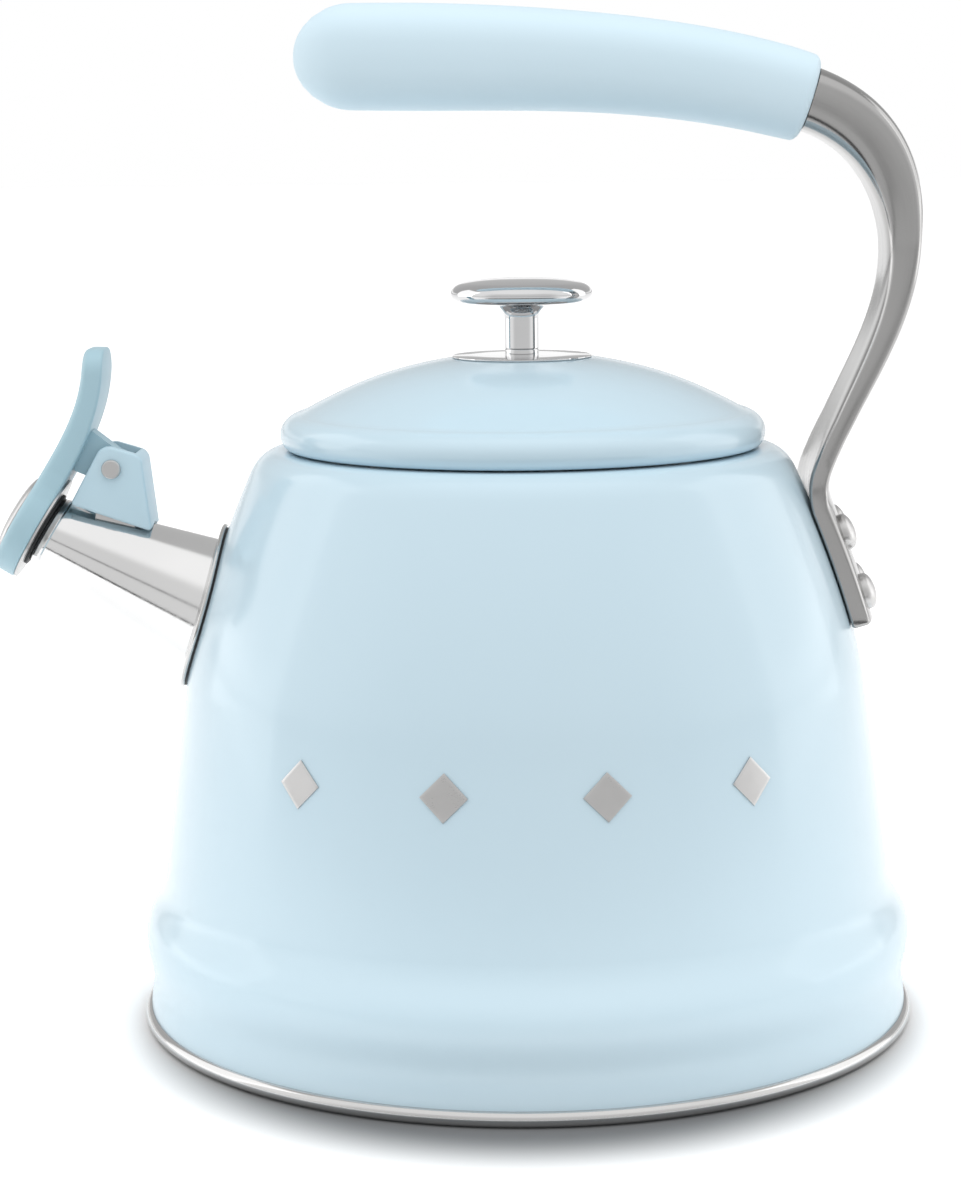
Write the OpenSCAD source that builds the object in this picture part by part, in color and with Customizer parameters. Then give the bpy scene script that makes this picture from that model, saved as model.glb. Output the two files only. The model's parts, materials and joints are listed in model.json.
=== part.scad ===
// Stovetop whistling kettle, in millimetres.
// Origin: body axis at the underside of the foot. +Z up, spout towards -X, handle towards +X.

/* [Body] */
// Outer radius of the wall at the foot
foot_r = 93.4; // [80:0.1:110]
// Outer radius of the rolled bead above the foot
bead_r = 94.1; // [81:0.1:111]
// Height of the bead
bead_z = 21.5; // [18:0.5:28]
// Outer radius where the side wall leaves the bead
waist_r = 89.0; // [76:0.1:106]
// Height where the side wall leaves the bead
waist_z = 35.3; // [31:0.1:42]
// Outer radius halfway up the side wall
flank_r = 82.6; // [72:0.1:100]
// Height of that halfway point
flank_z = 84; // [78:0.5:90]
// Height of the seat that the lid stands over
seat_z = 139.6; // [132:0.1:150]
// Thickness of the enamelled wall
wall = 1.2; // [0.8:0.1:2]
// Radius of the filling mouth
mouth_r = 50; // [40:0.5:60]
// Distance from the mouth out to the shoulder, where the wall turns in under the lid
shoulder_w = 16; // [13:0.1:22]

/* [Foot] */
// Height of the polished foot ring
ring_h = 3.8; // [3:0.1:6]
// How far the ring stands out past the wall
ring_out = 1.6; // [0.8:0.1:3]
// Thickness of the magnetic sole
sole_t = 1.0; // [0.6:0.1:2]
// Thickness of the aluminium heat spreader
core_t = 4.5; // [2:0.1:7]

/* [Lid] */
// How far the lid's rim reaches past the mouth
lid_over = 8.7; // [7:0.1:12]
// Height of the lid's dome over its rim edge
lid_rise = 21.2; // [14:0.1:30]
// Thickness of the lid
lid_wall = 1.0; // [0.7:0.1:1.6]
// Gap between the lid's rim and its seat
lid_gap = 0.4; // [0.2:0.1:1]
// Depth of the skirt below the seat
skirt_h = 11; // [6:0.5:14]
// Gap between the skirt seal and the mouth
seal_fit = 0.3; // [0.2:0.1:0.6]

/* [Knob] */
// Radius of the knob
knob_r = 17.05; // [13:0.1:22]
// Radius of the knob's stem
stem_r = 4.1; // [3.5:0.1:6]
// Height of the knob above the lid, collar included
knob_h = 18.4; // [15:0.1:22]
// Radius of the polished rose under the stem
rose_r = 16.95; // [12:0.1:20]
// Radius of the lid screw
screw_r = 2.0; // [1.5:0.1:2.5]

/* [Spout] */
// Distance from the body axis to the middle of the spout mouth
mouth_x = 116.6; // [108:0.5:130]
// Depth of the middle of the spout mouth below the lid's seat
mouth_drop = 19.6; // [14:0.1:30]
// Rise of the spout above level, in degrees
spout_rise = 24.5; // [20:0.5:30]
// Lean of the mouth's face from upright, in degrees
mouth_lean = 31; // [24:0.5:36]
// Outer radius of the spout at its mouth
tip_r = 8.2; // [7.8:0.1:9]
// Half angle of the spout's taper, in degrees
taper = 9.8; // [7:0.1:11]
// Thickness of the spout's wall
spout_wall = 0.8; // [0.6:0.1:1.2]
// Radius of the flange round the spout's root
flange_r = 19.8; // [19:0.1:23]
// Depth of the flange's centre below the middle of the spout mouth
flange_drop = 19.2; // [16:0.1:22]

/* [Whistle flap] */
// Distance of the hinge pin behind the middle of the spout mouth
pin_back = 17.3; // [16:0.1:19]
// Height of the hinge pin above the middle of the spout mouth
pin_up = 15.7; // [15:0.1:18]
// Radius of the hinge pin
pin_r = 1.3; // [1:0.1:1.6]
// How far the flap's disc reaches past the spout
disc_over = 5.6; // [5:0.1:7]
// Thickness of the flap's disc and lever
flap_t = 6; // [5:0.1:7]
// Thickness of the rubber that closes the mouth
gasket_t = 0.6; // [0.5:0.1:1.5]
// Width of the thumb lever
lever_w = 18; // [14:0.5:22]
// Width of the knuckle on the pin
knuckle_w = 6; // [4:0.1:7]

/* [Handle] */
// Width of the bar where it is riveted to the wall
plate_w = 34; // [30:1:40]
// Thickness of the bar where it is riveted to the wall
plate_t = 5; // [4:0.1:6]
// Width of the bar where it enters the grip
neck_w = 22; // [18:0.5:24]
// Height of the bar where it enters the grip
neck_t = 15.2; // [12:0.1:17]
// Height of the grip at its middle
grip_h = 25.2; // [22:0.1:30]
// Width of the grip at its middle
grip_w = 27; // [25:0.5:34]
// Thickness of the soft skin over the grip's core
skin_t = 3.2; // [2:0.1:4]
// Radius of the rivets' shanks
rivet_r = 2.2; // [1.8:0.1:2.6]
// Distance of the rivets from the kettle's middle plane, across
rivet_y = 9; // [7:0.5:11]
// Depth of the upper rivets below the lid's seat
rivet_drop = 22.2; // [20:0.1:26]
// Distance between upper and lower rivets, in height
rivet_pitch = 14.2; // [12:0.1:16]

/* [Marks] */
// Number of plain steel marks on the front
mark_count = 4; // [2:1:6]
// Angle between neighbouring marks, in degrees
mark_step = 24.5; // [18:0.5:26]
// Height of the marks
mark_z = 71.2; // [60:0.1:76]
// Size across a mark, point to point
mark_w = 11; // [6:0.5:14]

/* [Fits] */
// Gap between pieces that are joined for good
joint_gap = 0.05; // [0.02:0.01:0.1]
// Gap round the turning pin
pin_fit = 0.05; // [0.03:0.01:0.08]
// Gap beside pieces that move
side_fit = 0.35; // [0.3:0.05:0.6]
// Gap between the mouth and the closed gasket
gasket_gap = 0.15; // [0.1:0.05:0.3]

/* [Hidden] */
$fn = 96;
far = 300;

// ---- curves ----

// Point at t on a cubic Bezier curve with the four control points p
function bezier(p, t) = pow(1 - t, 3) * p[0] + 3 * pow(1 - t, 2) * t * p[1]
    + 3 * (1 - t) * t * t * p[2] + pow(t, 3) * p[3];
// Points along a Bezier curve, n steps, leaving out the last one
function run(p, n) = [for (i = [0:n - 1]) bezier(p, i / n)];
function unit(v) = v / norm(v);
// Direction of travel at point i of a path
function heading(path, i) =
    unit(path[min(i + 1, len(path) - 1)] - path[max(i - 1, 0)]);
// The path moved d to its left
function left_of(path, d) =
    [for (i = [0:len(path) - 1]) let (u = heading(path, i)) path[i] + d * [-u[1], u[0]]];
function backwards(path) = [for (i = [len(path) - 1:-1:0]) path[i]];
// Closed outline whose corners [x, y, r] are rounded with radius r
function rounded(corners, steps = 6) = [for (i = [0:len(corners) - 1])
    let (n = len(corners), c = corners[i], p = [c[0], c[1]],
        a = corners[(i + n - 1) % n], b = corners[(i + 1) % n],
        u = unit([a[0], a[1]] - p), v = unit([b[0], b[1]] - p),
        half = acos(u * v) / 2, m = unit(u + v), o = p + m * c[2] / sin(half),
        foot_u = p + u * c[2] / tan(half), foot_v = p + v * c[2] / tan(half),
        a0 = atan2(foot_u[1] - o[1], foot_u[0] - o[0]),
        a1 = atan2(foot_v[1] - o[1], foot_v[0] - o[0]),
        turn = (a1 - a0 + 540) % 360 - 180)
    each [for (k = [0:steps]) o + c[2] * [cos(a0 + turn * k / steps), sin(a0 + turn * k / steps)]]];

// ---- outline of the body ----

neck_h = 8.6;
lip = 1.6;
groove = 0.8;
foot_z = ring_h - 0.5;
shoulder_r = mouth_r + shoulder_w;
shoulder_z = seat_z - 5.2;
mouth_z = seat_z - mouth_drop;
flange_z = mouth_z - flange_drop;
pin_x = mouth_x - pin_back;
pin_z = mouth_z + pin_up;
rivet_top_z = seat_z - rivet_drop;
lower_wall = [[waist_r, waist_z], [waist_r - 1.8, waist_z + 15.7],
    [flank_r + 2.2, flank_z - 17.5], [flank_r, flank_z]];
upper_wall = [[flank_r, flank_z], [flank_r - 1.4, flank_z + 11],
    [shoulder_r + 8.5, shoulder_z - 18.9], [shoulder_r, shoulder_z]];
outline = concat(
    [[foot_r, foot_z]],
    run([[foot_r, foot_z + 0.5], [foot_r, foot_z + 3], [foot_r - groove, bead_z - 13],
        [foot_r - groove, bead_z - 10.5]], 4),
    run([[foot_r - groove, bead_z - 10.5], [foot_r - groove, bead_z - 7], [bead_r, bead_z - 4],
        [bead_r, bead_z]], 6),
    run([[bead_r, bead_z], [bead_r, bead_z + 6.5], [waist_r + 0.8, waist_z - 6.3],
        [waist_r, waist_z]], 9),
    run(lower_wall, 6),
    run(upper_wall, 14),
    run([[shoulder_r, shoulder_z], [shoulder_r - 1.4, seat_z - 2.4],
        [shoulder_r - 3.6, seat_z], [shoulder_r - 7, seat_z]], 7),
    [[shoulder_r - 7, seat_z]],
    run([[mouth_r + lip, seat_z], [mouth_r + lip / 2, seat_z], [mouth_r, seat_z - lip / 2],
        [mouth_r, seat_z - lip]], 4),
    [[mouth_r, seat_z - lip], [mouth_r, seat_z - neck_h]]);
inner_outline = left_of(outline, wall);

// Position on the side wall's curve at height z, found by halving, and the radius there
function wall_curve(z) = z < flank_z ? lower_wall : upper_wall;
function wall_t(z, lo = 0, hi = 1, n = 24) = n == 0 ? (lo + hi) / 2 :
    let (mid = (lo + hi) / 2)
    bezier(wall_curve(z), mid)[1] < z ? wall_t(z, mid, hi, n - 1) : wall_t(z, lo, mid, n - 1);
function wall_r(z) = bezier(wall_curve(z), wall_t(z))[0];
// Angle of the wall's outward normal above level at height z
function wall_tilt(z) =
    let (p = wall_curve(z), t = wall_t(z), d = bezier(p, t + 0.01) - bezier(p, t - 0.01))
    atan2(-d[0], d[1]);

// Solid that fills the body out to d beyond its wall
module body_solid(d) {
    rotate_extrude($fn = 180) polygon(concat([[0, foot_z]],
        left_of([for (p = outline) if (p[1] <= seat_z - 0.01 && p[0] > mouth_r + 5) p], -d),
        [[shoulder_r - 5 + d, seat_z], [0, seat_z]]));
}
// Skin of the body from a to b beyond the wall
module wall_layer(a, b) {
    difference() {
        body_solid(b);
        body_solid(a);
    }
}

// ---- base ----

floor_t = 1.0;
floor_z = sole_t + core_t;
groove_in = 0.4;
floor_r = foot_r - groove - wall - groove_in;
ring_round = ring_h / 2;
ring_mid = foot_r + ring_out - ring_round;
ring_in = ring_mid - 2.2;

module body_shell() {
    color("#cfe3ee")
    difference() {
        rotate_extrude($fn = 180) polygon(concat(outline, backwards(inner_outline)));
        spout_cone(joint_gap);
        rivet_places() cylinder(r = rivet_r + joint_gap, h = 30, center = true);
    }
}

module vessel_floor() {
    rim_h = 2.4;
    color("#c9cccf") rotate_extrude($fn = 180) polygon(concat(
        [[0, floor_z], [floor_r - 1.5, floor_z]],
        [for (a = [-75:15:0]) [floor_r - 1.5 + 1.5 * cos(a), floor_z + 1.5 + 1.5 * sin(a)]],
        [[floor_r, floor_z + rim_h], [floor_r - floor_t, floor_z + rim_h],
        [floor_r - floor_t, floor_z + 1.5], [floor_r - 1.5, floor_z + floor_t], [0, floor_z + floor_t]]));
}

module base_core() {
    color("#b9bcc0") translate([0, 0, sole_t]) cylinder(r = ring_in - 1.2, h = core_t, $fn = 180);
}

module base_sole() {
    sole_r = ring_in - joint_gap;
    color("#c4c6c9") rotate_extrude($fn = 180)
        polygon([[0, 0], [sole_r - 0.8, 0], [sole_r, sole_t / 2], [sole_r, sole_t], [0, sole_t]]);
}

module base_ring() {
    color("#d8dadc") rotate_extrude($fn = 180) difference() {
        union() {
            translate([ring_mid, ring_round]) circle(r = ring_round, $fn = 40);
            translate([ring_in, 0.15]) square([ring_mid - ring_in, ring_h - 0.3]);
        }
        translate([foot_r - wall - groove_in, foot_z - joint_gap])
            square([wall + groove_in + joint_gap, ring_h]);
    }
}

module front_marks() {
    proud = 0.35;
    color("#b5b3b0") for (i = [0:mark_count - 1]) intersection() {
        wall_layer(joint_gap, proud);
        rotate([0, 0, (i - (mark_count - 1) / 2) * mark_step]) translate([0, -foot_r + 30, mark_z])
            rotate([90, 0, 0]) linear_extrude(height = 60)
                polygon([[-mark_w / 2, 0], [0, -mark_w / 2], [mark_w / 2, 0], [0, mark_w / 2]]);
    }
}

// ---- spout ----

seal_t = 0.6;
flange_t = 1.0;

// Local frame at the spout's mouth: z out along the spout's axis
module on_spout() {
    translate([-mouth_x, 0, mouth_z]) rotate([0, spout_rise - 90, 0]) children();
}
// Local frame on the mouth's face: z out of the mouth, x up along the face
module on_mouth() {
    translate([-mouth_x, 0, mouth_z]) rotate([0, mouth_lean - 90, 0]) children();
}
// Cone that follows the outside of the spout, grown by d
module spout_cone(d) {
    root = 62;
    nose = 8;
    on_spout() translate([0, 0, -root])
        cylinder(r1 = tip_r + d + root * tan(taper), r2 = tip_r + d - nose * tan(taper), h = root + nose);
}

module spout_tube() {
    lip_l = 2.2;
    lip_t = 0.45;
    color("#d5d6d7") difference() {
        union() {
            spout_cone(0);
            intersection() {
                spout_cone(lip_t);
                on_mouth() translate([0, 0, -lip_l]) cylinder(r = tip_r * 2, h = lip_l);
            }
        }
        spout_cone(-spout_wall);
        on_mouth() cylinder(r = 30, h = 40);
        body_solid(-wall);
    }
}

module flange_disc(d) {
    translate([-foot_r - 10, 0, flange_z]) rotate([0, 90, 0]) cylinder(r = flange_r + d, h = foot_r);
}

module spout_flange() {
    color("#cfd1d3") difference() {
        intersection() {
            wall_layer(seal_t, seal_t + flange_t);
            flange_disc(0);
        }
        spout_cone(joint_gap);
    }
}

module spout_seal() {
    color("#2b2e31") difference() {
        intersection() {
            wall_layer(joint_gap, seal_t - joint_gap);
            flange_disc(-0.5);
        }
        spout_cone(joint_gap);
    }
}

// ---- hinge on the spout ----

spring_wire = 0.55;
spring_pitch = spring_wire * 1.1;
spring_start = 41;
spring_end = 53 + 3 * 360;
spring_room = spring_pitch * (spring_end - spring_start) / 360 + spring_wire;
gap_in = knuckle_w + spring_room + 2 * side_fit;
ear_t = 0.8;
cheek_t = 2.2;
cheek_in = gap_in / 2 + ear_t + joint_gap;
cheek_out = cheek_in + cheek_t;
knuckle_r = 4.3;

// Side view shapes, drawn about the hinge pin, are set upright in the kettle's middle plane
module at_pin() {
    translate([-pin_x, 0, pin_z]) rotate([90, 0, 0]) children();
}
module slab(y0, y1) {
    translate([0, 0, -y1]) linear_extrude(height = y1 - y0) children();
}

module hinge_bracket() {
    outer = [[-10.3, -8.6, 0.8], [-2.2, 6.0, 3.2], [7.3, 3.1, 3.0], [9.4, -15.4, 0.8]];
    floor_gap = 0.5;
    color("#a9cbd9") difference() {
        at_pin() slab(-cheek_out, cheek_out) polygon(rounded(outer));
        at_pin() slab(-cheek_in, cheek_in)
            polygon([[-20, -30], [7.2, -30], [5.7, 0], [5.7, 20], [-20, 20]]);
        at_pin() cylinder(r = pin_r + joint_gap, h = far, center = true);
        spout_cone(floor_gap);
    }
}

module bracket_saddle() {
    ear = [[-5.6, -20, 0.5], [-2.6, 2.4, 1.8], [3.0, 2.4, 1.8], [5.6, -20, 0.5]];
    pad_t = 0.9;
    pad_half = gap_in / 2 + ear_t / 2;
    color("#c2c5c8") difference() {
        union() {
            for (y = [-gap_in / 2 - ear_t, gap_in / 2]) at_pin() slab(y, y + ear_t) polygon(rounded(ear));
            intersection() {
                spout_cone(pad_t);
                at_pin() slab(-pad_half, pad_half) polygon([[-4.2, -30], [-4.2, 0], [4.2, 0], [4.2, -30]]);
            }
        }
        spout_cone(joint_gap);
        at_pin() cylinder(r = pin_r + joint_gap, h = far, center = true);
    }
}

module hinge_pin() {
    head_r = 2.35;
    tail_r = 1.9;
    color("#d9dadb") at_pin() rotate_extrude() polygon(concat(
        [[0, -cheek_out - 0.9], [tail_r - 0.5, -cheek_out - 0.9], [tail_r, -cheek_out - 0.4],
        [tail_r, -cheek_out - joint_gap], [pin_r, -cheek_out - joint_gap],
        [pin_r, cheek_out + joint_gap], [head_r, cheek_out + joint_gap]],
        [for (a = [0:15:75]) [head_r - 1.1 + 1.1 * cos(a), cheek_out + 0.3 + 0.8 * sin(a)]],
        [[0, cheek_out + 1.1]]));
}

module flap_spring() {
    coil_r = pin_r + pin_fit + 0.25 + spring_wire / 2;
    step_a = 22.5;
    fixed_leg = 5.1;
    free_leg = 4.8;
    y0 = gap_in / 2 - 0.08 - spring_wire / 2;
    coil = [for (a = [spring_start:step_a:spring_end])
        [coil_r * cos(a), coil_r * sin(a), spring_pitch * (a - spring_start) / 360 - y0]];
    last = len(coil) - 1;
    tail = coil[last] + free_leg * unit(coil[last] - coil[last - 1]);
    root = coil[0] + fixed_leg * unit(coil[0] - coil[1]);
    color("#bfc1c3") at_pin() tube(concat([root, coil[0] + 0.5 * (root - coil[0])], coil, [tail]),
        spring_wire / 2, 8);
}

// ---- whistle flap ----

backing_t = 0.5;
gasket_top = gasket_gap + gasket_t;
disc_back = gasket_top + backing_t + 2 * joint_gap;
disc_r = tip_r + disc_over;
bore_r = tip_r + 0.4;
cap_r = disc_r - 3.3;
gasket_r = tip_r + 1.4;
plate_r = disc_r - 0.3;
tip_thin = 1;
mouth_up = [sin(mouth_lean), cos(mouth_lean)];
mouth_out = [-cos(mouth_lean), sin(mouth_lean)];
// Middle line of the lever about the pin: it leaves the disc straight, then bends up over the pin
lever_root = [pin_x - mouth_x, mouth_z - pin_z] + disc_r / 2 * mouth_up + (disc_back + flap_t / 2) * mouth_out;
lever_path = [lever_root, lever_root + 13.4 * mouth_up, [-4.1, 13.3], [-3.8, 26.0]];

module whistle_flap() {
    edge = 2;
    back_edge = 0.3;
    lever_n = 20;
    tip_n = 4;
    spine = [for (i = [0:lever_n]) bezier(lever_path, i / lever_n)];
    lever = [for (i = [0:lever_n]) let (t = i / lever_n)
        ring_at(spine[i], heading(spine, i),
            section(lookup(t, [[0, 23], [0.2, 21.5], [0.45, lever_w + 0.6], [1, lever_w]]),
                lookup(t, [[0.2, flap_t], [1, flap_t - tip_thin]]), 3.4, 28))];
    tip = [for (k = [1:tip_n]) let (a = 90 * k / tip_n * 0.94)
        ring_at(spine[lever_n] + 2.8 * sin(a) * heading(spine, lever_n), heading(spine, lever_n),
            section(lever_w - 2 * 3.6 * (1 - cos(a)), (flap_t - tip_thin) * (0.25 + 0.75 * cos(a)),
                3.4 - 1.2 * sin(a), 28))];
    color("#b4d6e2") difference() {
        union() {
            on_mouth() translate([0, 0, disc_back]) rotate_extrude() polygon(rounded(
                [[0, 0, 0.001], [disc_r, 0, back_edge], [disc_r, flap_t, edge], [0, flap_t, 0.001]]));
            at_pin() {
                slab(-knuckle_w / 2 - spring_room / 2, knuckle_w / 2 - spring_room / 2) {
                    circle(r = knuckle_r);
                    polygon([[-9.6, -0.6], [-2.2, -3.7], [1.4, 4.07], [-4.9, 9.0], [-8, 4]]);
                }
            }
            translate([-pin_x, 0, pin_z]) skin(concat(lever, tip));
        }
        at_pin() cylinder(r = pin_r + pin_fit, h = far, center = true);
        on_mouth() cylinder(r = bore_r, h = 30, center = true);
        on_mouth() translate([0, 0, disc_back - 10]) cylinder(r = disc_r + 0.2, h = 10 + joint_gap / 2);
        on_mouth() translate([0, 0, disc_back + flap_t + joint_gap / 2]) cylinder(r = cap_r + 0.3, h = 10);
    }
}

module whistle_cap() {
    rise = 1.9;
    skirt_r = bore_r - 0.2;
    face = disc_back + flap_t;
    color("#b9bbbd") on_mouth() rotate_extrude() polygon(concat(
        [for (a = [0:0.1:1]) [2 + (cap_r - 2) * a, face + joint_gap + rise * sqrt(1.02 - a * a)]],
        [[cap_r, face + joint_gap], [skirt_r, face + joint_gap], [skirt_r, face - 2.5], [skirt_r - 0.5, face - 2.5],
        [skirt_r - 0.5, face + 0.3], [2, face + rise - 0.6]]));
}

module whistle_plate() {
    color("#b2b4b6") on_mouth() translate([0, 0, gasket_top + joint_gap]) difference() {
        cylinder(r = plate_r, h = backing_t);
        cylinder(r = 1.5, h = 5, center = true);
    }
}

cup_rim = 0.25;
module whistle_cup() {
    cup_r = tip_r - spout_wall - 1.2;
    depth = 3.2;
    face = gasket_top;
    color("#aeb0b2") on_mouth() rotate_extrude() polygon([[1.3, face - depth], [cup_r, face - depth],
        [cup_r, face - cup_rim], [cup_r + 1.4, face - cup_rim], [cup_r + 1.4, face], [cup_r - 0.5, face],
        [cup_r - 0.5, face - depth + 0.5], [1.3, face - depth + 0.5]]);
}

module flap_gasket() {
    inner = tip_r - spout_wall - 1.2 + joint_gap;
    color("#26292c") on_mouth() difference() {
        translate([0, 0, gasket_gap]) cylinder(r = gasket_r, h = gasket_t);
        cylinder(r = inner, h = 30, center = true);
        translate([0, 0, gasket_top - cup_rim - joint_gap]) cylinder(r = inner + 1.4 + joint_gap, h = 30);
    }
}

// ---- lid ----

lid_r = mouth_r + lid_over;
rim_z = seat_z + lid_gap;
rose_z = rim_z + lid_rise;
crease_r = lid_r - 5;
crease_z = rim_z + 8.5;
rose_t = 0.75;
hub_r = 17;
curl_r = lid_r - 3.2;
lid_outline = concat(
    [[screw_r + 0.2, rose_z]],
    run([[hub_r, rose_z], [hub_r + 15.6, rose_z - 2.4], [crease_r - 11.8, crease_z + 6.4],
        [crease_r, crease_z]], 12),
    run([[crease_r, crease_z], [crease_r + 4.5, crease_z - 0.9], [lid_r + 0.9, rim_z + 4],
        [lid_r - 0.5, rim_z + 1.3]], 10),
    run([[lid_r - 0.5, rim_z + 1.3], [lid_r - 0.8, rim_z + 0.6], [lid_r - 1.4, rim_z],
        [lid_r - 2.2, rim_z]], 4),
    [[lid_r - 2.2, rim_z], [curl_r, rim_z]]);

module lid_shell() {
    color("#cfe3ee") rotate_extrude($fn = 150)
        polygon(concat(lid_outline, backwards(left_of(lid_outline, -lid_wall))));
}

skirt_r = mouth_r - seal_fit - 0.9;
module lid_skirt() {
    t = 0.8;
    hem_z = rim_z + lid_wall + joint_gap;
    flare_r = curl_r + 1.0;
    color("#c6c9cc") rotate_extrude($fn = 150) polygon([[skirt_r - t, seat_z - skirt_h],
        [skirt_r, seat_z - skirt_h], [skirt_r, hem_z], [flare_r, hem_z], [flare_r, hem_z + t],
        [skirt_r - t, hem_z + t]]);
}

module lid_seal() {
    z0 = seat_z - 7;
    color("#e4e8ea") rotate_extrude($fn = 150) polygon([[skirt_r, z0], [mouth_r - seal_fit, z0 + 1.2],
        [mouth_r - seal_fit, z0 + 2.2], [skirt_r, z0 + 4]]);
}

collar_z = rose_z + rose_t;
collar_h = 1.35;
knob_z = collar_z + collar_h + joint_gap;

module knob_rose() {
    color("#d4d6d8") rotate_extrude() polygon([[screw_r + 0.2, rose_z], [rose_r - 0.4, rose_z],
        [rose_r, rose_z + 0.3], [rose_r - 0.3, rose_z + rose_t - 0.15], [stem_r + 3, collar_z],
        [screw_r + 0.2, collar_z]]);
}

module knob_collar() {
    color("#d4d6d8") rotate_extrude() polygon([[screw_r + 0.2, collar_z], [stem_r, collar_z],
        [stem_r, collar_z + collar_h - 0.15], [stem_r - 0.15, collar_z + collar_h],
        [screw_r + 0.2, collar_z + collar_h]]);
}

module lid_knob() {
    top = rose_z + knob_h + rose_t;
    under = top - 5.9;
    bore_h = 9;
    color("#dcdee0") rotate_extrude() polygon(concat(
        [[screw_r + joint_gap, knob_z], [stem_r - 0.2, knob_z]],
        run([[stem_r, knob_z + 0.2], [stem_r, knob_z + 3], [stem_r, under - 4.4], [stem_r, under - 4]], 2),
        run([[stem_r, under - 4], [stem_r, under - 1.6], [stem_r + 2.4, under - 0.3],
            [stem_r + 5.4, under - 0.1]], 8),
        run([[stem_r + 5.4, under - 0.1], [stem_r + 7, under], [knob_r - 4.5, under], [knob_r - 3, under]], 2),
        run([[knob_r - 3, under], [knob_r + 0.8, under], [knob_r + 1.15, top - 2.2],
            [knob_r - 2.6, top - 1.2]], 12),
        run([[knob_r - 2.6, top - 1.2], [knob_r - 7, top - 0.2], [5, top], [0, top]], 10),
        [[0, top], [0, knob_z + bore_h], [screw_r + joint_gap, knob_z + bore_h - 1]]));
}

washer_t = 0.8;
washer_z = rose_z - lid_wall - washer_t;
module lid_washer() {
    color("#b9bcbf") translate([0, 0, washer_z]) difference() {
        cylinder(r = 5, h = washer_t);
        cylinder(r = screw_r + 0.2, h = 9, center = true);
    }
}

module lid_screw() {
    head_h = 2.3;
    color("#b9bcbf") difference() {
        union() {
            translate([0, 0, washer_z]) cylinder(r = screw_r, h = knob_z + 7.5 - washer_z);
            translate([0, 0, washer_z - head_h]) cylinder(r1 = 3.2, r2 = 3.7, h = head_h);
        }
        for (a = [0, 90]) rotate([0, 0, a]) translate([-2.2, -0.45, washer_z - head_h - 1])
            cube([4.4, 0.9, 2.2]);
    }
}

// ---- bars and skins swept along a path ----

// Value with its sign kept, raised to the power e
function bent(v, e) = sign(v) * pow(abs(v), e);
// Ring of n points on a rounded rectangle; e of 2 is an ellipse, more is squarer
function section(w, h, e, n) =
    [for (j = [0:n - 1]) let (a = 360 * j / n) [w / 2 * bent(cos(a), 2 / e), h / 2 * bent(sin(a), 2 / e)]];
// The ring with the steps beside its flat middles cut in three, so that the flats can bend
function with_flats(ring) = let (n = len(ring), q = n / 4)
    [for (j = [0:n - 1]) let (a = ring[j], b = ring[(j + 1) % n])
        each (j % (n / 2) == q || (j + 1) % (n / 2) == q) ? [a, a + (b - a) / 3, b + (a - b) / 3] : [a]];
// That ring stood across a path in the middle plane, and wrapped round a wall of radius r by a share k
function ring_at(c, u, ring, r = 1000, k = 0) =
    [for (p = ring) [c[0] - u[1] * p[1] - k * (r - sqrt(r * r - p[0] * p[0])), p[0], c[1] + u[0] * p[1]]];
// Solid skin over rings of the same number of points
module skin(rings) {
    n = len(rings);
    m = len(rings[0]);
    polyhedron(points = [for (r = rings) each r], faces = concat(
        [[for (j = [0:m - 1]) j]],
        [for (i = [0:n - 2], j = [0:m - 1]) let (a = i * m + j, b = i * m + (j + 1) % m)
            each [[a, a + m, b], [b, a + m, b + m]]],
        [[for (j = [m - 1:-1:0]) (n - 1) * m + j]]));
}
// Round wire of radius r through the points of a path in space
module tube(path, r, sides) {
    n = len(path);
    skin([for (i = [0:n - 1])
        let (u = unit(path[min(i + 1, n - 1)] - path[max(i - 1, 0)]),
            v = unit(cross(u, [0.13, 0.21, 1])), w = cross(u, v))
        [for (j = [0:sides - 1]) path[i] + r * (cos(360 * j / sides) * v + sin(360 * j / sides) * w)]]);
}

// ---- handle ----

grip_path = [for (p = [[-53.9, 72], [-10, 71.2], [32, 72.2], [68.7, 60.7]]) p + [0, rose_z]];
nose_l = 13.9;
grip_n = 36;
core_e = 3;
core_w = grip_w - 2 * skin_t;
core_h = grip_h - 2 * skin_t - 3.4;
tang_w = 12;
tang_t = 7;
plate_gap = 0.12;
plate_foot_z = rivet_top_z - rivet_pitch - 6.8;

// Point and ring number along the grip, 0 at its nose and 1 at its open end
function grip_at(t) = bezier(grip_path, t);
function grip_dir(t) = unit(bezier(grip_path, t + 0.01) - bezier(grip_path, t - 0.01));
// Share of the full section that the round nose has reached at t
function nose(t) = let (d = min(1, norm(grip_at(t) - grip_at(0)) / nose_l)) sqrt(1 - pow(1 - d, 2));
function grip_height(t) = lookup(t, [[0, grip_h - 0.4], [0.25, grip_h], [0.6, grip_h - 2],
    [0.93, grip_h - 3.6], [0.985, grip_h - 4.2], [1, grip_h - 6]]);
function grip_width(t) = lookup(t, [[0, grip_w - 2], [0.25, grip_w], [0.6, grip_w], [0.93, grip_w - 0.6],
    [0.985, grip_w - 1.2], [1, grip_w - 3]]);
grip_ts = concat([0.001, 0.006, 0.014, 0.026, 0.042, 0.062, 0.086], [for (i = [4:grip_n]) i / grip_n * 0.985], [0.993, 1]);
core_ts = [for (i = [0:16]) 0.11 + 0.89 * i / 16];

// Rings along the grip, the last one carried straight on by a share of the last step
module along_grip(ts, over, w, h, e, n) {
    rings = [for (t = ts) ring_at(grip_at(t), grip_dir(t), section(w, h, e, n))];
    last = len(rings) - 1;
    skin([for (i = [0:last]) i < last ? rings[i] : rings[i] + over * (rings[i] - rings[i - 1])]);
}
module core_body(grow, over) {
    along_grip(core_ts, over, core_w + 2 * grow, core_h + 2 * grow, core_e, 24);
}

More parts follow.
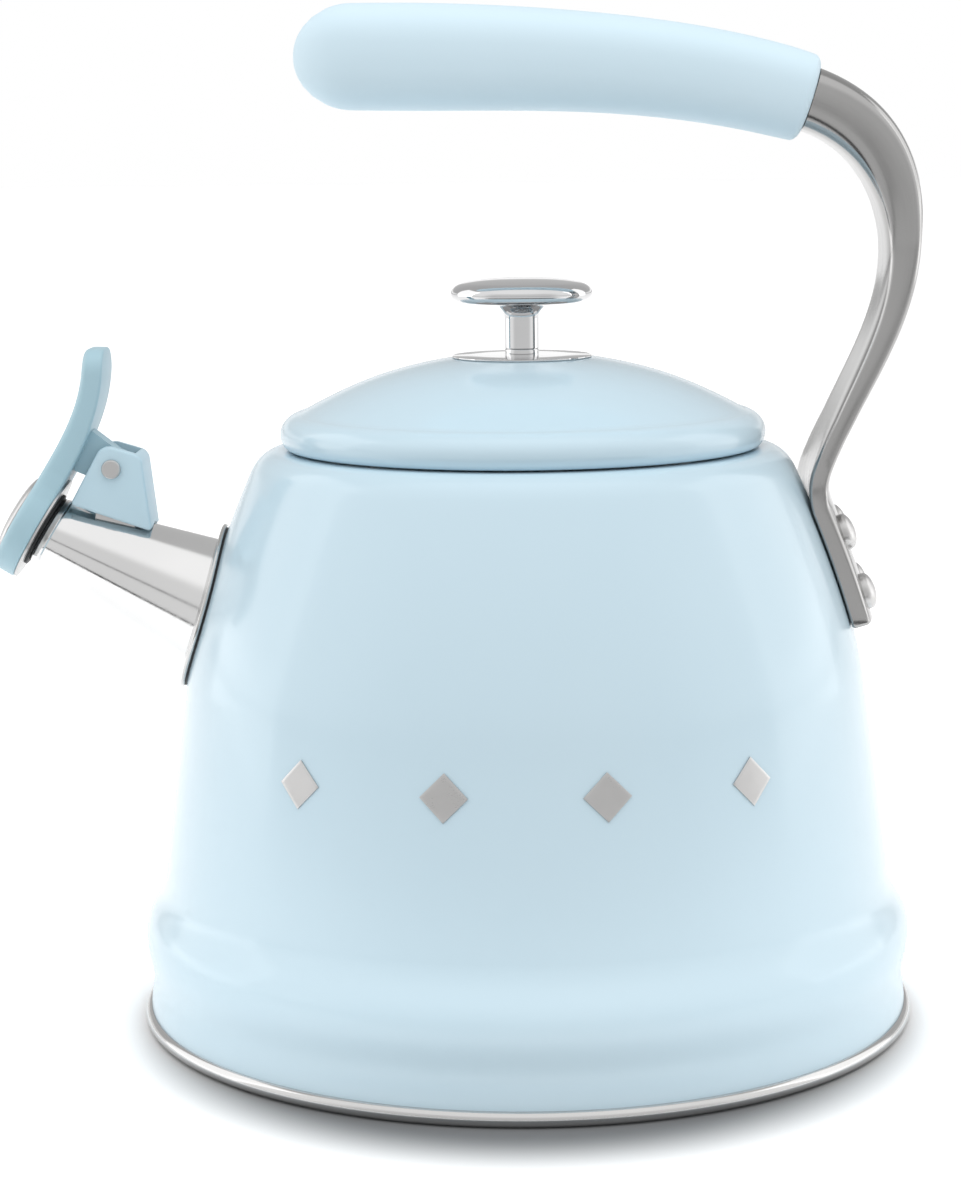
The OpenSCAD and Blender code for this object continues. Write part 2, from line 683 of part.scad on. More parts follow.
module handle_grip() {
    color("#cfe8f0") difference() {
        skin([for (t = grip_ts) ring_at(grip_at(t), grip_dir(t),
            section(grip_width(t) * nose(t), grip_height(t) * nose(t), 2.5, 32))]);
        core_body(0, 0.5);
    }
}

tang_ts = [for (i = [0:13]) 0.22 + 0.06 * i];
module tang(grow, ts, over) {
    along_grip(ts, over, tang_w + 2 * grow, tang_t + 2 * grow, 5, 20);
}

module core_pin_places(r, h) {
    for (t = [0.36, 0.82]) translate([grip_at(t)[0], 0, grip_at(t)[1]]) rotate([90, 0, 0])
        cylinder(r = r, h = h, center = true);
}

module grip_core() {
    color("#3a3f44") difference() {
        core_body(-joint_gap, 0);
        tang(joint_gap, concat([tang_ts[0] - 0.02], tang_ts), 0.5);
        core_pin_places(1.5 + joint_gap, core_w + 2);
    }
}

module core_pins() {
    color("#b9bcbf") core_pin_places(1.5, core_w - 2);
}

// Middle line of the bar, outside the grip: down round the elbow, then along the wall
hip = [90.8, rose_z + 26.8];
bar_root = grip_path[3] + 2 * joint_gap * grip_dir(1);
function plate_point(z) = let (a = wall_tilt(z))
    [wall_r(z), z] + (plate_gap + plate_t / 2) * [cos(a), sin(a)];
plate_top_z = rivet_top_z + 6.2;
plate_n = 8;
plate_head = plate_point(plate_top_z);
plate_dir = unit(plate_point(plate_top_z - 1) - plate_head);
ankle = plate_head + [-0.73, 11.42];
bar_top = [bar_root, bar_root + [16.2, -5.9], hip + [0, 14.7], hip];
bar_low = [hip, hip - [0, 20.4], ankle + [5.7, 17], ankle];
bar_bend = [ankle, ankle - [1.5, 4.6], plate_head - 4.2 * plate_dir, plate_head];
bar_line = concat(run(bar_top, 14), run(bar_low, 14), run(bar_bend, 6),
    [for (i = [0:plate_n]) plate_point(plate_top_z + (plate_foot_z - plate_top_z) * i / plate_n)]);
bar_n = len(bar_line) - 1;

module handle_bar() {
    color("#d0d2d4") difference() {
        union() {
            skin([for (i = [0:bar_n])
                let (s = i / bar_n, z = bar_line[i][1],
                    w = lookup(s, [[0, neck_w], [0.3, neck_w + 2], [0.6, plate_w - 3], [0.74, plate_w],
                        [0.97, plate_w], [1, plate_w - 3]]),
                    h = lookup(s, [[0, neck_t], [0.1, neck_t - 1], [0.2, 12.3], [0.27, 10.3], [0.33, 8.6],
                        [0.42, 7], [0.52, 5.8], [0.62, plate_t], [1, plate_t]]),
                    k = lookup(s, [[0.6, 0], [0.8, 1]]))
                ring_at(bar_line[i], i == 0 ? grip_dir(1) : heading(bar_line, i),
                    with_flats(section(w, h, lookup(s, [[0, 3.6], [0.5, 6], [1, 9]]), 32)),
                    wall_r(min(z, plate_top_z)), k)]);
            tang(0, tang_ts, 0.1);
        }
        rivet_places() cylinder(r = rivet_r + joint_gap, h = 30, center = true);
        core_pin_places(1.5 + joint_gap, core_w);
    }
}

// Frames at the four rivets: z straight out of the wall
module rivet_places() {
    for (z = [rivet_top_z, rivet_top_z - rivet_pitch], s = [-1, 1])
        rotate([0, 0, s * asin(rivet_y / wall_r(z))]) translate([wall_r(z), 0, z])
            rotate([0, 90 - wall_tilt(z), 0]) children();
}

washer_gap = 0.3;
rivet_washer_t = 1.0;
module handle_rivets() {
    head_r = 4.4;
    head_h = 2.5;
    base = plate_gap + plate_t + joint_gap;
    inside = -wall - washer_gap - rivet_washer_t - joint_gap;
    color("#c4c2c0") rivet_places() rotate_extrude($fn = 48) polygon(concat(
        [[0, inside - 1.2], [rivet_r + 0.8, inside - 1.0], [rivet_r + 1.4, inside - 0.5],
        [rivet_r + 1.4, inside], [rivet_r, inside], [rivet_r, base], [head_r, base]],
        [for (a = [0:15:90]) [head_r * cos(a), base + 0.5 + (head_h - 0.5) * sin(a)]]));
}

module rivet_washers() {
    color("#b9bcbf") rivet_places() translate([0, 0, -wall - washer_gap - rivet_washer_t]) difference() {
        cylinder(r = 5.5, h = rivet_washer_t, $fn = 48);
        cylinder(r = rivet_r + joint_gap, h = 9, center = true, $fn = 48);
    }
}

body_shell();
vessel_floor();
base_core();
base_sole();
base_ring();
front_marks();
spout_tube();
spout_flange();
spout_seal();
bracket_saddle();
hinge_bracket();
hinge_pin();
flap_spring();
whistle_flap();
whistle_cap();
whistle_plate();
whistle_cup();
flap_gasket();
lid_shell();
lid_skirt();
lid_seal();
knob_rose();
knob_collar();
lid_knob();
lid_screw();
lid_washer();
handle_bar();
handle_rivets();
rivet_washers();
grip_core();
core_pins();
handle_grip();
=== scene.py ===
# %% [markdown]
# # A stovetop whistling kettle
# The kettle is already there as an engineering model: every part sits at its real place, in
# metres, with the spout towards -X and the handle towards +X. This lesson dresses it. Each part
# that can be seen gets a finer surface than the engineering model has, and a finish that is
# worked out by shader nodes. The moving bodies keep their names: "kettle", "lid" and "flap".

# %% Load the engineering model
import json
import math

import bmesh
import bpy
from mathutils import Matrix, Vector

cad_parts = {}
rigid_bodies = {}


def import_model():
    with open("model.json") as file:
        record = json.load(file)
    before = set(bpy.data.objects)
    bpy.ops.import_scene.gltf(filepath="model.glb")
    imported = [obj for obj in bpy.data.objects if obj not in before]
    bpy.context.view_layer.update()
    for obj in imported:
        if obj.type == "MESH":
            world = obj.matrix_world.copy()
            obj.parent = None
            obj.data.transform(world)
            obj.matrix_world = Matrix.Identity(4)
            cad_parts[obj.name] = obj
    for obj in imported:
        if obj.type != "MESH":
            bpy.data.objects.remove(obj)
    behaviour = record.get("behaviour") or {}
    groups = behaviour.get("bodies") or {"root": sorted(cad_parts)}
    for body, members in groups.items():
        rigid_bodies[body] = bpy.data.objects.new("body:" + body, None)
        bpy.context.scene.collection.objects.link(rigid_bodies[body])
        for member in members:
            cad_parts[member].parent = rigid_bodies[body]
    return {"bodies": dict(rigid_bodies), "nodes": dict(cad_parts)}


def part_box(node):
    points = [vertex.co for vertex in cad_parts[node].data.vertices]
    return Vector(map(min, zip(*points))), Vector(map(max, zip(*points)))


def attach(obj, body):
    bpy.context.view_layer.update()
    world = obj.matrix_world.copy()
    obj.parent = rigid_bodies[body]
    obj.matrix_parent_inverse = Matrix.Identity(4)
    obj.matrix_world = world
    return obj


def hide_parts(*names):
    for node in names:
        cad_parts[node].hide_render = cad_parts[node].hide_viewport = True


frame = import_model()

packed = set(frame["nodes"].values()) | set(frame["bodies"].values())
for thing in list(bpy.data.objects):
    if thing not in packed:
        bpy.data.objects.remove(thing)
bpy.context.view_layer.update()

# %% [markdown]
# ## The camera
# The kettle is looked at from a little above, from straight in front, through a long lens, so
# that its sides stay nearly parallel. The three turns are: down, a touch to the left, and a
# hair of roll.

# %% Camera
scene = bpy.context.scene
lens = bpy.data.cameras.new("camera")
camera = bpy.data.objects.new("camera", lens)
scene.collection.objects.link(camera)
scene.camera = camera
pitch, yaw, roll = 0.1591, 0.0156, -0.0108
lens.sensor_width = 36
lens.lens = 84.7
lens.clip_start = 0.05
camera.matrix_world = (Matrix.Translation((0, -0.6837, 0.2115)) @ Matrix.Rotation(yaw, 4, "Z")
    @ Matrix.Rotation(math.pi / 2 - pitch, 4, "X") @ Matrix.Rotation(roll, 4, "Z"))
print("camera stands", round(-camera.location.y, 3), "m in front of the kettle's axis")

# %% [markdown]
# ## Studio light
# Steel shows what stands round it, so most of its look is made here. The world is a white room
# that isn't even: it is dimmer in front of the kettle, dimmer again behind it above the horizon,
# nearly black in one stripe low in front, and has a thin grey line at the horizon. Glossy enamel
# then stays deeper in colour at the front and turns pale towards its sides, and polished steel
# gets its crisp dark bands. Seen directly, the room is plain white. Two cards at the sides show
# only in reflections, and a box overhead shows in none.

# %% World and soft boxes
scene.view_settings.view_transform = "Standard"
world = bpy.data.worlds.new("white room")
scene.world = world
world.use_nodes = True
room = world.node_tree
room.nodes.clear()


def link_node(tree, kind, inputs=(), **settings):
    """Adds a node; inputs maps a socket's name or number to a value or to another socket."""
    node = tree.nodes.new(kind)
    for key, value in settings.items():
        setattr(node, key, value)
    for key, value in dict(inputs).items():
        if isinstance(value, bpy.types.NodeSocket):
            tree.links.new(value, node.inputs[key])
        else:
            node.inputs[key].default_value = value
    return node


def span(tree, value, low, high, to_low=0.0, to_high=1.0):
    """The value mapped smoothly from low..high to to_low..to_high."""
    return link_node(tree, "ShaderNodeMapRange", {"Value": value, "From Min": low, "From Max": high,
        "To Min": to_low, "To Max": to_high}, interpolation_type="SMOOTHSTEP").outputs[0]


def maths(tree, how, a, b=0.0):
    return link_node(tree, "ShaderNodeMath", {0: a, 1: b}, operation=how).outputs[0]


direction = link_node(room, "ShaderNodeTexCoord").outputs["Generated"]
along = link_node(room, "ShaderNodeSeparateXYZ", {0: direction}).outputs
forward, upward = along["Y"], along["Z"]
front = maths(room, "MULTIPLY", span(room, forward, -0.25, -0.8), span(room, upward, 0.75, 0.35))
back = maths(room, "MULTIPLY", span(room, forward, -0.05, 0.2), span(room, upward, 0.06, 0.2))
stripe = maths(room, "MULTIPLY", span(room, upward, -0.42, -0.45), span(room, upward, -0.66, -0.63))
stripe = maths(room, "MULTIPLY", stripe, span(room, forward, -0.2, -0.35))
horizon = span(room, maths(room, "ABSOLUTE", upward), 0.02, 0.045)
horizon = maths(room, "SUBTRACT", 1.0, horizon)
level = 1.12
for region, brightness in ((front, 0.72), (back, 0.5), (stripe, 0.1), (horizon, 0.5)):
    level = maths(room, "MULTIPLY", level, span(room, region, 0, 1, 1.0, brightness))
seen = link_node(room, "ShaderNodeLightPath").outputs["Is Camera Ray"]
strength = link_node(room, "ShaderNodeMix", {"Factor": seen, "A": level, "B": 1.0}).outputs[0]
background = link_node(room, "ShaderNodeBackground", {"Color": (1, 1, 1, 1), "Strength": strength})
link_node(room, "ShaderNodeOutputWorld", {"Surface": background.outputs[0]})


def soft_box(name, place, size, watts):
    """A rectangular area light that faces the middle of the kettle."""
    lamp = bpy.data.lights.new(name, "AREA")
    lamp.shape = "RECTANGLE"
    lamp.size, lamp.size_y = size
    lamp.energy = watts
    box = bpy.data.objects.new(name, lamp)
    box.location = place
    box.rotation_euler = (Vector((0, 0, 0.1)) - Vector(place)).to_track_quat("-Z", "Y").to_euler()
    scene.collection.objects.link(box)
    return box


for side in (-1, 1):
    card = soft_box("side card", (side * 1.0, 0.3, 0.4), (0.8, 1.2), 3)
    card.visible_diffuse = False
overhead = soft_box("top box", (0, -0.15, 1.3), (1.2, 0.9), 4)
overhead.visible_glossy = False

# %% [markdown]
# ## The table
# A plain white table catches the shadow. It ends not far in front of the kettle, so that steel can reflect
# the room's dark stripe past its edge. It isn't part of the kettle.

# %% Table
table_side, table_front = 16, -0.148
bm = bmesh.new()
bmesh.ops.create_grid(bm, x_segments=1, y_segments=1, size=table_side / 2)
bmesh.ops.translate(bm, verts=bm.verts, vec=(0, table_front + table_side / 2, 0))
table = bpy.data.objects.new("table", bpy.data.meshes.new("table"))
bm.to_mesh(table.data)
bm.free()
scene.collection.objects.link(table)

# %% [markdown]
# ## Shader groups
# Real finishes are never quite even. Three small effects are used by several finishes, so each
# is a node group that is built once: a fine ripple for sprayed and moulded surfaces, brushed
# lines for metal, and a broad haze that makes gloss drift a little across a surface. A group only
# works out values; the shader that uses them stays in the material.

# %% Group helpers
def new_group(name, inputs, outputs):
    tree = bpy.data.node_groups.new(name, "ShaderNodeTree")
    for label, kind, value in inputs:
        socket = tree.interface.new_socket(label, in_out="INPUT", socket_type=kind)
        if value is not None:
            socket.default_value = value
    for label, kind in outputs:
        tree.interface.new_socket(label, in_out="OUTPUT", socket_type=kind)
    return tree, tree.nodes.new("NodeGroupInput").outputs, tree.nodes.new("NodeGroupOutput").inputs


# %% Fine ripple
ripple, given, out = new_group("fine_ripple",
    [("Place", "NodeSocketVector", None), ("Grain", "NodeSocketFloat", 600.0)],
    [("Height", "NodeSocketFloat")])
noise = link_node(ripple, "ShaderNodeTexNoise",
    {"Vector": given["Place"], "Scale": given["Grain"], "Detail": 3.0, "Roughness": 0.45})
ripple.links.new(noise.outputs[0], out["Height"])

# %% Brushed lines
brush, given, out = new_group("brushed_lines",
    [("Place", "NodeSocketVector", None), ("Grain", "NodeSocketFloat", 3000.0),
     ("Depth", "NodeSocketFloat", 1.0)],
    [("Height", "NodeSocketFloat"), ("Mask", "NodeSocketFloat")])
fine = link_node(brush, "ShaderNodeTexNoise",
    {"Vector": given["Place"], "Scale": given["Grain"], "Detail": 2.0, "Roughness": 0.6})
broad = link_node(brush, "ShaderNodeTexNoise",
    {"Vector": given["Place"], "Scale": maths(brush, "MULTIPLY", given["Grain"], 0.17), "Detail": 1.0})
both = maths(brush, "MULTIPLY", fine.outputs[0], maths(brush, "ADD", broad.outputs[0], 0.4))
brush.links.new(maths(brush, "MULTIPLY", both, given["Depth"]), out["Height"])
brush.links.new(span(brush, both, 0.25, 0.65), out["Mask"])

# %% Broad haze
haze, given, out = new_group("broad_haze",
    [("Place", "NodeSocketVector", None), ("Size", "NodeSocketFloat", 18.0), ("Low", "NodeSocketFloat", 0.1),
     ("High", "NodeSocketFloat", 0.2)],
    [("Mask", "NodeSocketFloat"), ("Value", "NodeSocketFloat")])
cloud = link_node(haze, "ShaderNodeTexNoise",
    {"Vector": given["Place"], "Scale": given["Size"], "Detail": 4.0})
mask = span(haze, cloud.outputs[0], 0.3, 0.7)
haze.links.new(mask, out["Mask"])
value = link_node(haze, "ShaderNodeMapRange",
    {"Value": mask, "To Min": given["Low"], "To Max": given["High"]})
haze.links.new(value.outputs[0], out["Value"])
print("shader groups:", [g.name for g in bpy.data.node_groups])

# %% [markdown]
# ## Finishes
# Each finish is one Principled shader. Numbers that are the same all over sit on its sockets;
# what changes over the surface comes from the groups. Places are read from Object coordinates,
# which are the kettle's own metres, or from a piece's UV map where lines follow a bent piece.

# %% Finish builder
line_rough = 0.06


def finish(name, colour, colour_2=None, rough=(0.3, 0.4), haze_size=18.0, grain=0.0, bump=0.0,
           lines=0.0, line_bump=0.0, turned=False, along_uv=False, **sockets):
    """A finish. colour drifts to colour_2 and roughness from rough[0] to rough[1] with the haze;
    grain and bump give the fine ripple; lines and line_bump the brushed lines, laid in circles
    round Z when turned, along the piece's own UV map, or else along X."""
    made = bpy.data.materials.new(name)
    made.use_nodes = True
    tree = made.node_tree
    shader = tree.nodes["Principled BSDF"]
    for key, value in sockets.items():
        shader.inputs[key.replace("_", " ")].default_value = value
    place = link_node(tree, "ShaderNodeTexCoord").outputs["Object"]
    drift = link_node(tree, "ShaderNodeGroup", {}, node_tree=haze)
    tree.links.new(place, drift.inputs["Place"])
    for key, value in (("Size", haze_size), ("Low", rough[0]), ("High", rough[1])):
        drift.inputs[key].default_value = value
    tint = link_node(tree, "ShaderNodeMix", {"Factor": drift.outputs["Mask"]}, data_type="RGBA")
    tint.inputs["A"].default_value = (*colour, 1)
    tint.inputs["B"].default_value = (*(colour_2 or colour), 1)
    colour_out, rough_out, heights = tint.outputs["Result"], drift.outputs["Value"], []
    if lines:
        if along_uv:
            spot = link_node(tree, "ShaderNodeUVMap", uv_map="run").outputs[0]
            spot = link_node(tree, "ShaderNodeMapping", {"Vector": spot, "Scale": (0.012, 1, 1)}).outputs[0]
        elif turned:
            part = link_node(tree, "ShaderNodeSeparateXYZ", {0: place}).outputs
            reach = maths(tree, "SQRT", maths(tree, "ADD", maths(tree, "MULTIPLY", part[0], part[0]),
                maths(tree, "MULTIPLY", part[1], part[1])))
            spot = link_node(tree, "ShaderNodeCombineXYZ", {0: reach, 1: 0.0, 2: part[2]}).outputs[0]
        else:
            spot = link_node(tree, "ShaderNodeMapping", {"Vector": place, "Scale": (0.02, 1, 1)}).outputs[0]
        brushed = link_node(tree, "ShaderNodeGroup", {}, node_tree=brush)
        tree.links.new(spot, brushed.inputs["Place"])
        brushed.inputs["Grain"].default_value = lines
        rough_out = link_node(tree, "ShaderNodeMath",
            {0: brushed.outputs["Mask"], 1: line_rough, 2: rough_out}, operation="MULTIPLY_ADD").outputs[0]
        heights.append((brushed.outputs["Height"], line_bump))
    if bump:
        rippled = link_node(tree, "ShaderNodeGroup", {}, node_tree=ripple)
        tree.links.new(place, rippled.inputs["Place"])
        rippled.inputs["Grain"].default_value = grain
        heights.append((rippled.outputs["Height"], bump))
    normal = None
    for height_out, depth in heights:
        bumped = link_node(tree, "ShaderNodeBump", {"Height": height_out, "Strength": 1.0, "Distance": depth})
        if normal:
            tree.links.new(normal, bumped.inputs["Normal"])
        normal = bumped.outputs[0]
    if normal:
        tree.links.new(normal, shader.inputs["Normal"])
    tree.links.new(colour_out, shader.inputs["Base Color"])
    tree.links.new(rough_out, shader.inputs["Roughness"])
    return made


# %% [markdown]
# The enamel is glass fused to steel: a pale blue under a clear, slightly rippled gloss. Silicone
# is dull and a bit soft at its edges. The flap and its bracket are moulded plastic with a fine
# satin texture, and the bracket's is paler.

# %% Enamel, silicones and plastics
enamel = finish("pale_blue_enamel", (0.575, 0.735, 0.825), (0.59, 0.745, 0.832), rough=(0.2, 0.26),
    haze_size=9, grain=420, bump=0.000012, IOR=1.45, Coat_Weight=0.35, Coat_Roughness=0.08)
silicone = finish("pale_blue_silicone", (0.66, 0.825, 0.915), (0.67, 0.83, 0.92), rough=(0.52, 0.62),
    haze_size=30, grain=4200, bump=0.00001, IOR=1.42, Sheen_Weight=0.12, Sheen_Roughness=0.4)
moulded = dict(rough=(0.34, 0.44), haze_size=40, grain=3600, bump=0.000012, IOR=1.5)
plastic = finish("soft_blue_plastic", (0.385, 0.57, 0.65), (0.40, 0.582, 0.66), **moulded)
pale_plastic = finish("pale_blue_plastic", (0.53, 0.71, 0.80), (0.545, 0.72, 0.81), **moulded)
black_rubber = finish("black_silicone", (0.018, 0.019, 0.021), (0.028, 0.029, 0.031), rough=(0.45, 0.6),
    haze_size=60, grain=3000, bump=0.00001, IOR=1.42)
milky = finish("clear_silicone", (0.74, 0.79, 0.82), (0.78, 0.82, 0.85), rough=(0.3, 0.4), haze_size=60,
    grain=2600, bump=0.000008, IOR=1.42, Transmission_Weight=0.35)
nylon = finish("dark_nylon", (0.045, 0.05, 0.056), (0.055, 0.06, 0.068), rough=(0.5, 0.62), haze_size=60,
    grain=2600, bump=0.00002, IOR=1.5)

# %% [markdown]
# The metals differ in how far they were polished and in how light they are. The spout and the bar share one
# polished steel in two copies: the spout's is painted lighter, as painted light, and the bar's is painted
# darker, as painted shade. Brushed lines follow the bar's bends, circle round the turned parts and run along
# X elsewhere; the plated and the cast metal have none.

# %% Metals
polished = dict(haze_size=26, lines=5200, line_bump=0.0000012, Metallic=1.0)
steel = finish("polished_steel", (0.58, 0.576, 0.572), (0.61, 0.606, 0.60), rough=(0.09, 0.15),
    turned=True, **polished)
# The bar's copy of the polished steel is painted darker: painted shade.
shaded_bar_steel = finish("polished_steel_painted_darker", (0.38, 0.377, 0.374), (0.42, 0.416, 0.412), rough=(0.1, 0.17),
    along_uv=True, **polished)
# The spout's copy of the polished steel is painted lighter: painted light.
lit_spout_steel = finish("polished_steel_painted_lighter", (0.74, 0.737, 0.735), (0.78, 0.777, 0.775),
    rough=(0.07, 0.11), **polished)
chrome = finish("chrome_plate", (0.62, 0.62, 0.625), (0.65, 0.65, 0.655), rough=(0.045, 0.08),
    haze_size=60, grain=300, bump=0.000004, Metallic=1.0)
satin = finish("satin_steel", (0.56, 0.555, 0.55), (0.60, 0.595, 0.59), rough=(0.26, 0.34),
    haze_size=60, lines=4200, line_bump=0.000002, Metallic=1.0)
ringed_steel = finish("ringed_satin_steel", (0.58, 0.575, 0.57), (0.63, 0.625, 0.62), rough=(0.24, 0.32),
    haze_size=22, lines=2600, line_bump=0.000006, turned=True, Metallic=1.0)
aluminium = finish("cast_aluminium", (0.70, 0.70, 0.71), (0.76, 0.76, 0.77), rough=(0.42, 0.55),
    haze_size=120, grain=1500, bump=0.00004, Metallic=1.0)

# %% [markdown]
# The table has to be as bright as the room, or its far edge would show. A white that bright
# swallows the kettle's own shadow, so part of the shadow is painted: the white turns to grey
# under the kettle and close round its foot, furthest at the front.

# %% White of the table
shade_inner, shade_outer = 0.084, 0.116
shade_narrower, shade_forward = 1.1, 0.014
white = finish("white_table", (1.32, 1.32, 1.32), (1.33, 1.33, 1.33), rough=(0.7, 0.8), IOR=1.1)
tree = white.node_tree
spot = link_node(tree, "ShaderNodeTexCoord").outputs["Object"]
spot = link_node(tree, "ShaderNodeSeparateXYZ", {0: spot}).outputs
across = maths(tree, "MULTIPLY", spot[0], shade_narrower)
ahead = maths(tree, "ADD", spot[1], shade_forward)
reach = maths(tree, "SQRT", maths(tree, "ADD", maths(tree, "MULTIPLY", across, across),
    maths(tree, "MULTIPLY", ahead, ahead)))
clear = span(tree, reach, shade_inner, shade_outer)
shade = link_node(tree, "ShaderNodeMix", {"Factor": clear}, data_type="RGBA")
shade.inputs["A"].default_value = (0.2, 0.205, 0.21, 1)
shader = tree.nodes["Principled BSDF"]
tree.links.new(shader.inputs["Base Color"].links[0].from_socket, shade.inputs["B"])
tree.links.new(shade.outputs["Result"], shader.inputs["Base Color"])
table.data.materials.append(white)
print("finishes:", len(bpy.data.materials))

# %% [markdown]
# ## Curves and turned shapes
# The kettle is mostly turned work: the spun body, the lid, the foot ring, the knob. Each comes
# from an outline in millimetres, radius and height, that is spun once round. The outlines are
# Bezier curves, the same that the engineering model follows, but cut finer.

# %% Curve helpers
MM = 0.001


def points(*pairs):
    return [Vector(p) for p in pairs]


def bezier(p, t):
    """Point at t on the cubic Bezier curve with four control points."""
    shares = ((1 - t) ** 3, 3 * (1 - t) ** 2 * t, 3 * (1 - t) * t * t, t ** 3)
    return sum((Vector(q) * w for q, w in zip(p, shares)), Vector((0,) * len(p[0])))


def run(p, steps):
    """Points along a Bezier curve, without the last one."""
    return [bezier(p, i / steps) for i in range(steps)]


def heading(path, i):
    """Direction of a path at its point i."""
    return (path[min(i + 1, len(path) - 1)] - path[max(i - 1, 0)]).normalized()


def left_of(path, d):
    """The path moved d to its left."""
    return [p + d * Vector((-heading(path, i)[1], heading(path, i)[0])) for i, p in enumerate(path)]


def arc(centre, r, start, end, steps):
    """Points on a circle, angles in degrees."""
    return [Vector((centre[0] + r * math.cos(math.radians(a)), centre[1] + r * math.sin(math.radians(a))))
        for a in (start + (end - start) * i / steps for i in range(steps + 1))]


def smooth_table(table, x):
    """A value from a table of (x, value) rows, eased so that no kink shows at the rows."""
    for i in range(len(table) - 1):
        (x0, y0), (x1, y1) = table[i], table[i + 1]
        if x <= x1 or i == len(table) - 2:
            before = table[i - 1] if i else table[i]
            after = table[i + 2] if i + 2 < len(table) else table[i + 1]
            t = min(1, max(0, (x - x0) / (x1 - x0)))
            m0 = (y1 - before[1]) / (x1 - before[0]) * (x1 - x0)
            m1 = (after[1] - y0) / (after[0] - x0) * (x1 - x0)
            return ((2 * t ** 3 - 3 * t * t + 1) * y0 + (t ** 3 - 2 * t * t + t) * m0
                + (3 * t * t - 2 * t ** 3) * y1 + (t ** 3 - t * t) * m1)


# %% Shape helpers
def turned(outline, steps=160):
    """A closed outline of (radius, height) spun once round Z."""
    bm = bmesh.new()
    verts = [bm.verts.new((p[0] * MM, 0, p[1] * MM)) for p in outline]
    edges = [bm.edges.new((a, b)) for a, b in zip(verts, verts[1:] + verts[:1])
        if a.co.x > 1e-7 or b.co.x > 1e-7]
    bmesh.ops.spin(bm, geom=verts + edges, axis=(0, 0, 1), cent=(0, 0, 0), angle=2 * math.pi, steps=steps,
        use_merge=True)
    bmesh.ops.remove_doubles(bm, verts=bm.verts, dist=1e-7)
    bmesh.ops.recalc_face_normals(bm, faces=bm.faces)
    return bm


def soften(bm, width, segments=3, over=35, chosen=None):
    """Bevels the edges that are sharper than an angle in degrees."""
    sharp = [e for e in bm.edges if len(e.link_faces) == 2 and e.calc_face_angle(0) > math.radians(over)
        and (chosen is None or chosen(e))]
    bmesh.ops.bevel(bm, geom=sharp, offset=width * MM, offset_type="OFFSET", segments=segments, profile=0.5,
        affect="EDGES", material=-1, clamp_overlap=True)
    return bm


def fresh_verts(made):
    """The vertices among what an operator says it made."""
    return [v for v in made["geom"] if isinstance(v, bmesh.types.BMVert)]


def as_object(bm, name):
    mesh = bpy.data.meshes.new(name)
    bm.to_mesh(mesh)
    bm.free()
    made = bpy.data.objects.new(name, mesh)
    scene.collection.objects.link(made)
    return made


def carve(bm, cutter, how="DIFFERENCE"):
    """One closed shape cut out of another, or joined to it, by a Boolean modifier applied at once."""
    whole, tool = as_object(bm, "whole"), as_object(cutter, "tool")
    cut = whole.modifiers.new("cut", "BOOLEAN")
    cut.operation, cut.solver, cut.object = how, "EXACT", tool
    result = bmesh.new()
    shaped = whole.evaluated_get(bpy.context.evaluated_depsgraph_get())
    result.from_mesh(shaped.to_mesh())
    shaped.to_mesh_clear()
    for thing in (whole, tool):
        mesh = thing.data
        bpy.data.objects.remove(thing)
        bpy.data.meshes.remove(mesh)
    return result


def join(*shapes):
    """Several shapes in one mesh."""
    whole = bmesh.new()
    for bm in shapes:
        part = bpy.data.meshes.new("part")
        bm.to_mesh(part)
        bm.free()
        whole.from_mesh(part)
        bpy.data.meshes.remove(part)
    return whole


def place(bm, matrix):
    bm.transform(matrix)
    return bm


def piece(name, bm, made_of, body, slot, *nodes, crease=32):
    """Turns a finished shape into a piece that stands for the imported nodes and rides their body."""
    made = as_object(bm, name)
    made.data.shade_smooth()
    made.data.set_sharp_from_angle(angle=math.radians(crease))
    made.data.materials.append(made_of)
    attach(made, body)
    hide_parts(*nodes)
    low = [min(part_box(n)[0][i] for n in nodes) for i in range(3)]
    high = [max(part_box(n)[1][i] for n in nodes) for i in range(3)]
    places = [v.co for v in made.data.vertices]
    off = max(max(abs(min(c[i] for c in places) - low[i]), abs(max(c[i] for c in places) - high[i]))
        for i in range(3))
    print(f"{name}: {len(made.data.polygons)} faces, within {1000 * off:.2f} mm of the packed box")
    return made


# %% [markdown]
# ## The body
# The real body is drawn from one sheet of steel: it flares out to a rolled bead above the foot,
# and turns in over a shoulder to the flat seat of the lid, where a short neck hangs inside. One
# closed outline, outer wall up and inner wall back down, is spun; a cone then cuts the hole
# that the spout looks through.

# %% Outline of the body
wall = 1.2
mouth_r, seat_z = 50, 139.6
waist_r, waist_z = 82.6, 84
lower_wall = [(89, 35.3), (87.2, 51), (84.8, 66.5), (waist_r, waist_z)]
upper_wall = [(waist_r, waist_z), (81.2, 95), (74.5, 115.5), (66, 134.4)]
outline = ([Vector((93.4, 3.3))] + run([(93.4, 3.8), (93.4, 6.3), (92.6, 8.5), (92.6, 11)], 8)
    + run([(92.6, 11), (92.6, 14.5), (94.1, 17.5), (94.1, 21.5)], 12)
    + run([(94.1, 21.5), (94.1, 28), (89.8, 29), (89, 35.3)], 18)
    + run(lower_wall, 14) + run(upper_wall, 26)
    + run([(66, 134.4), (64.6, 137.2), (62.4, seat_z), (59, seat_z)], 12) + points((59, seat_z))
    + run([(51.6, seat_z), (50.8, seat_z), (mouth_r, 138.8), (mouth_r, 138)], 6)
    + points((mouth_r, 138), (mouth_r, 131)))
print("the outline of the body has", len(outline), "points")

# %% Spin the body and cut the spout's hole
mouth_x, mouth_z = -116.6, 120
spout_tilt, mouth_tilt = 24.5, 31
mouth = Vector((mouth_x, 0, mouth_z)) * MM
on_spout = Matrix.Translation(mouth) @ Matrix.Rotation(math.radians(spout_tilt - 90), 4, "Y")
on_mouth = Matrix.Translation(mouth) @ Matrix.Rotation(math.radians(mouth_tilt - 90), 4, "Y")
tip_r, slope, spout_wall = 8.2, math.tan(math.radians(9.8)), 0.8


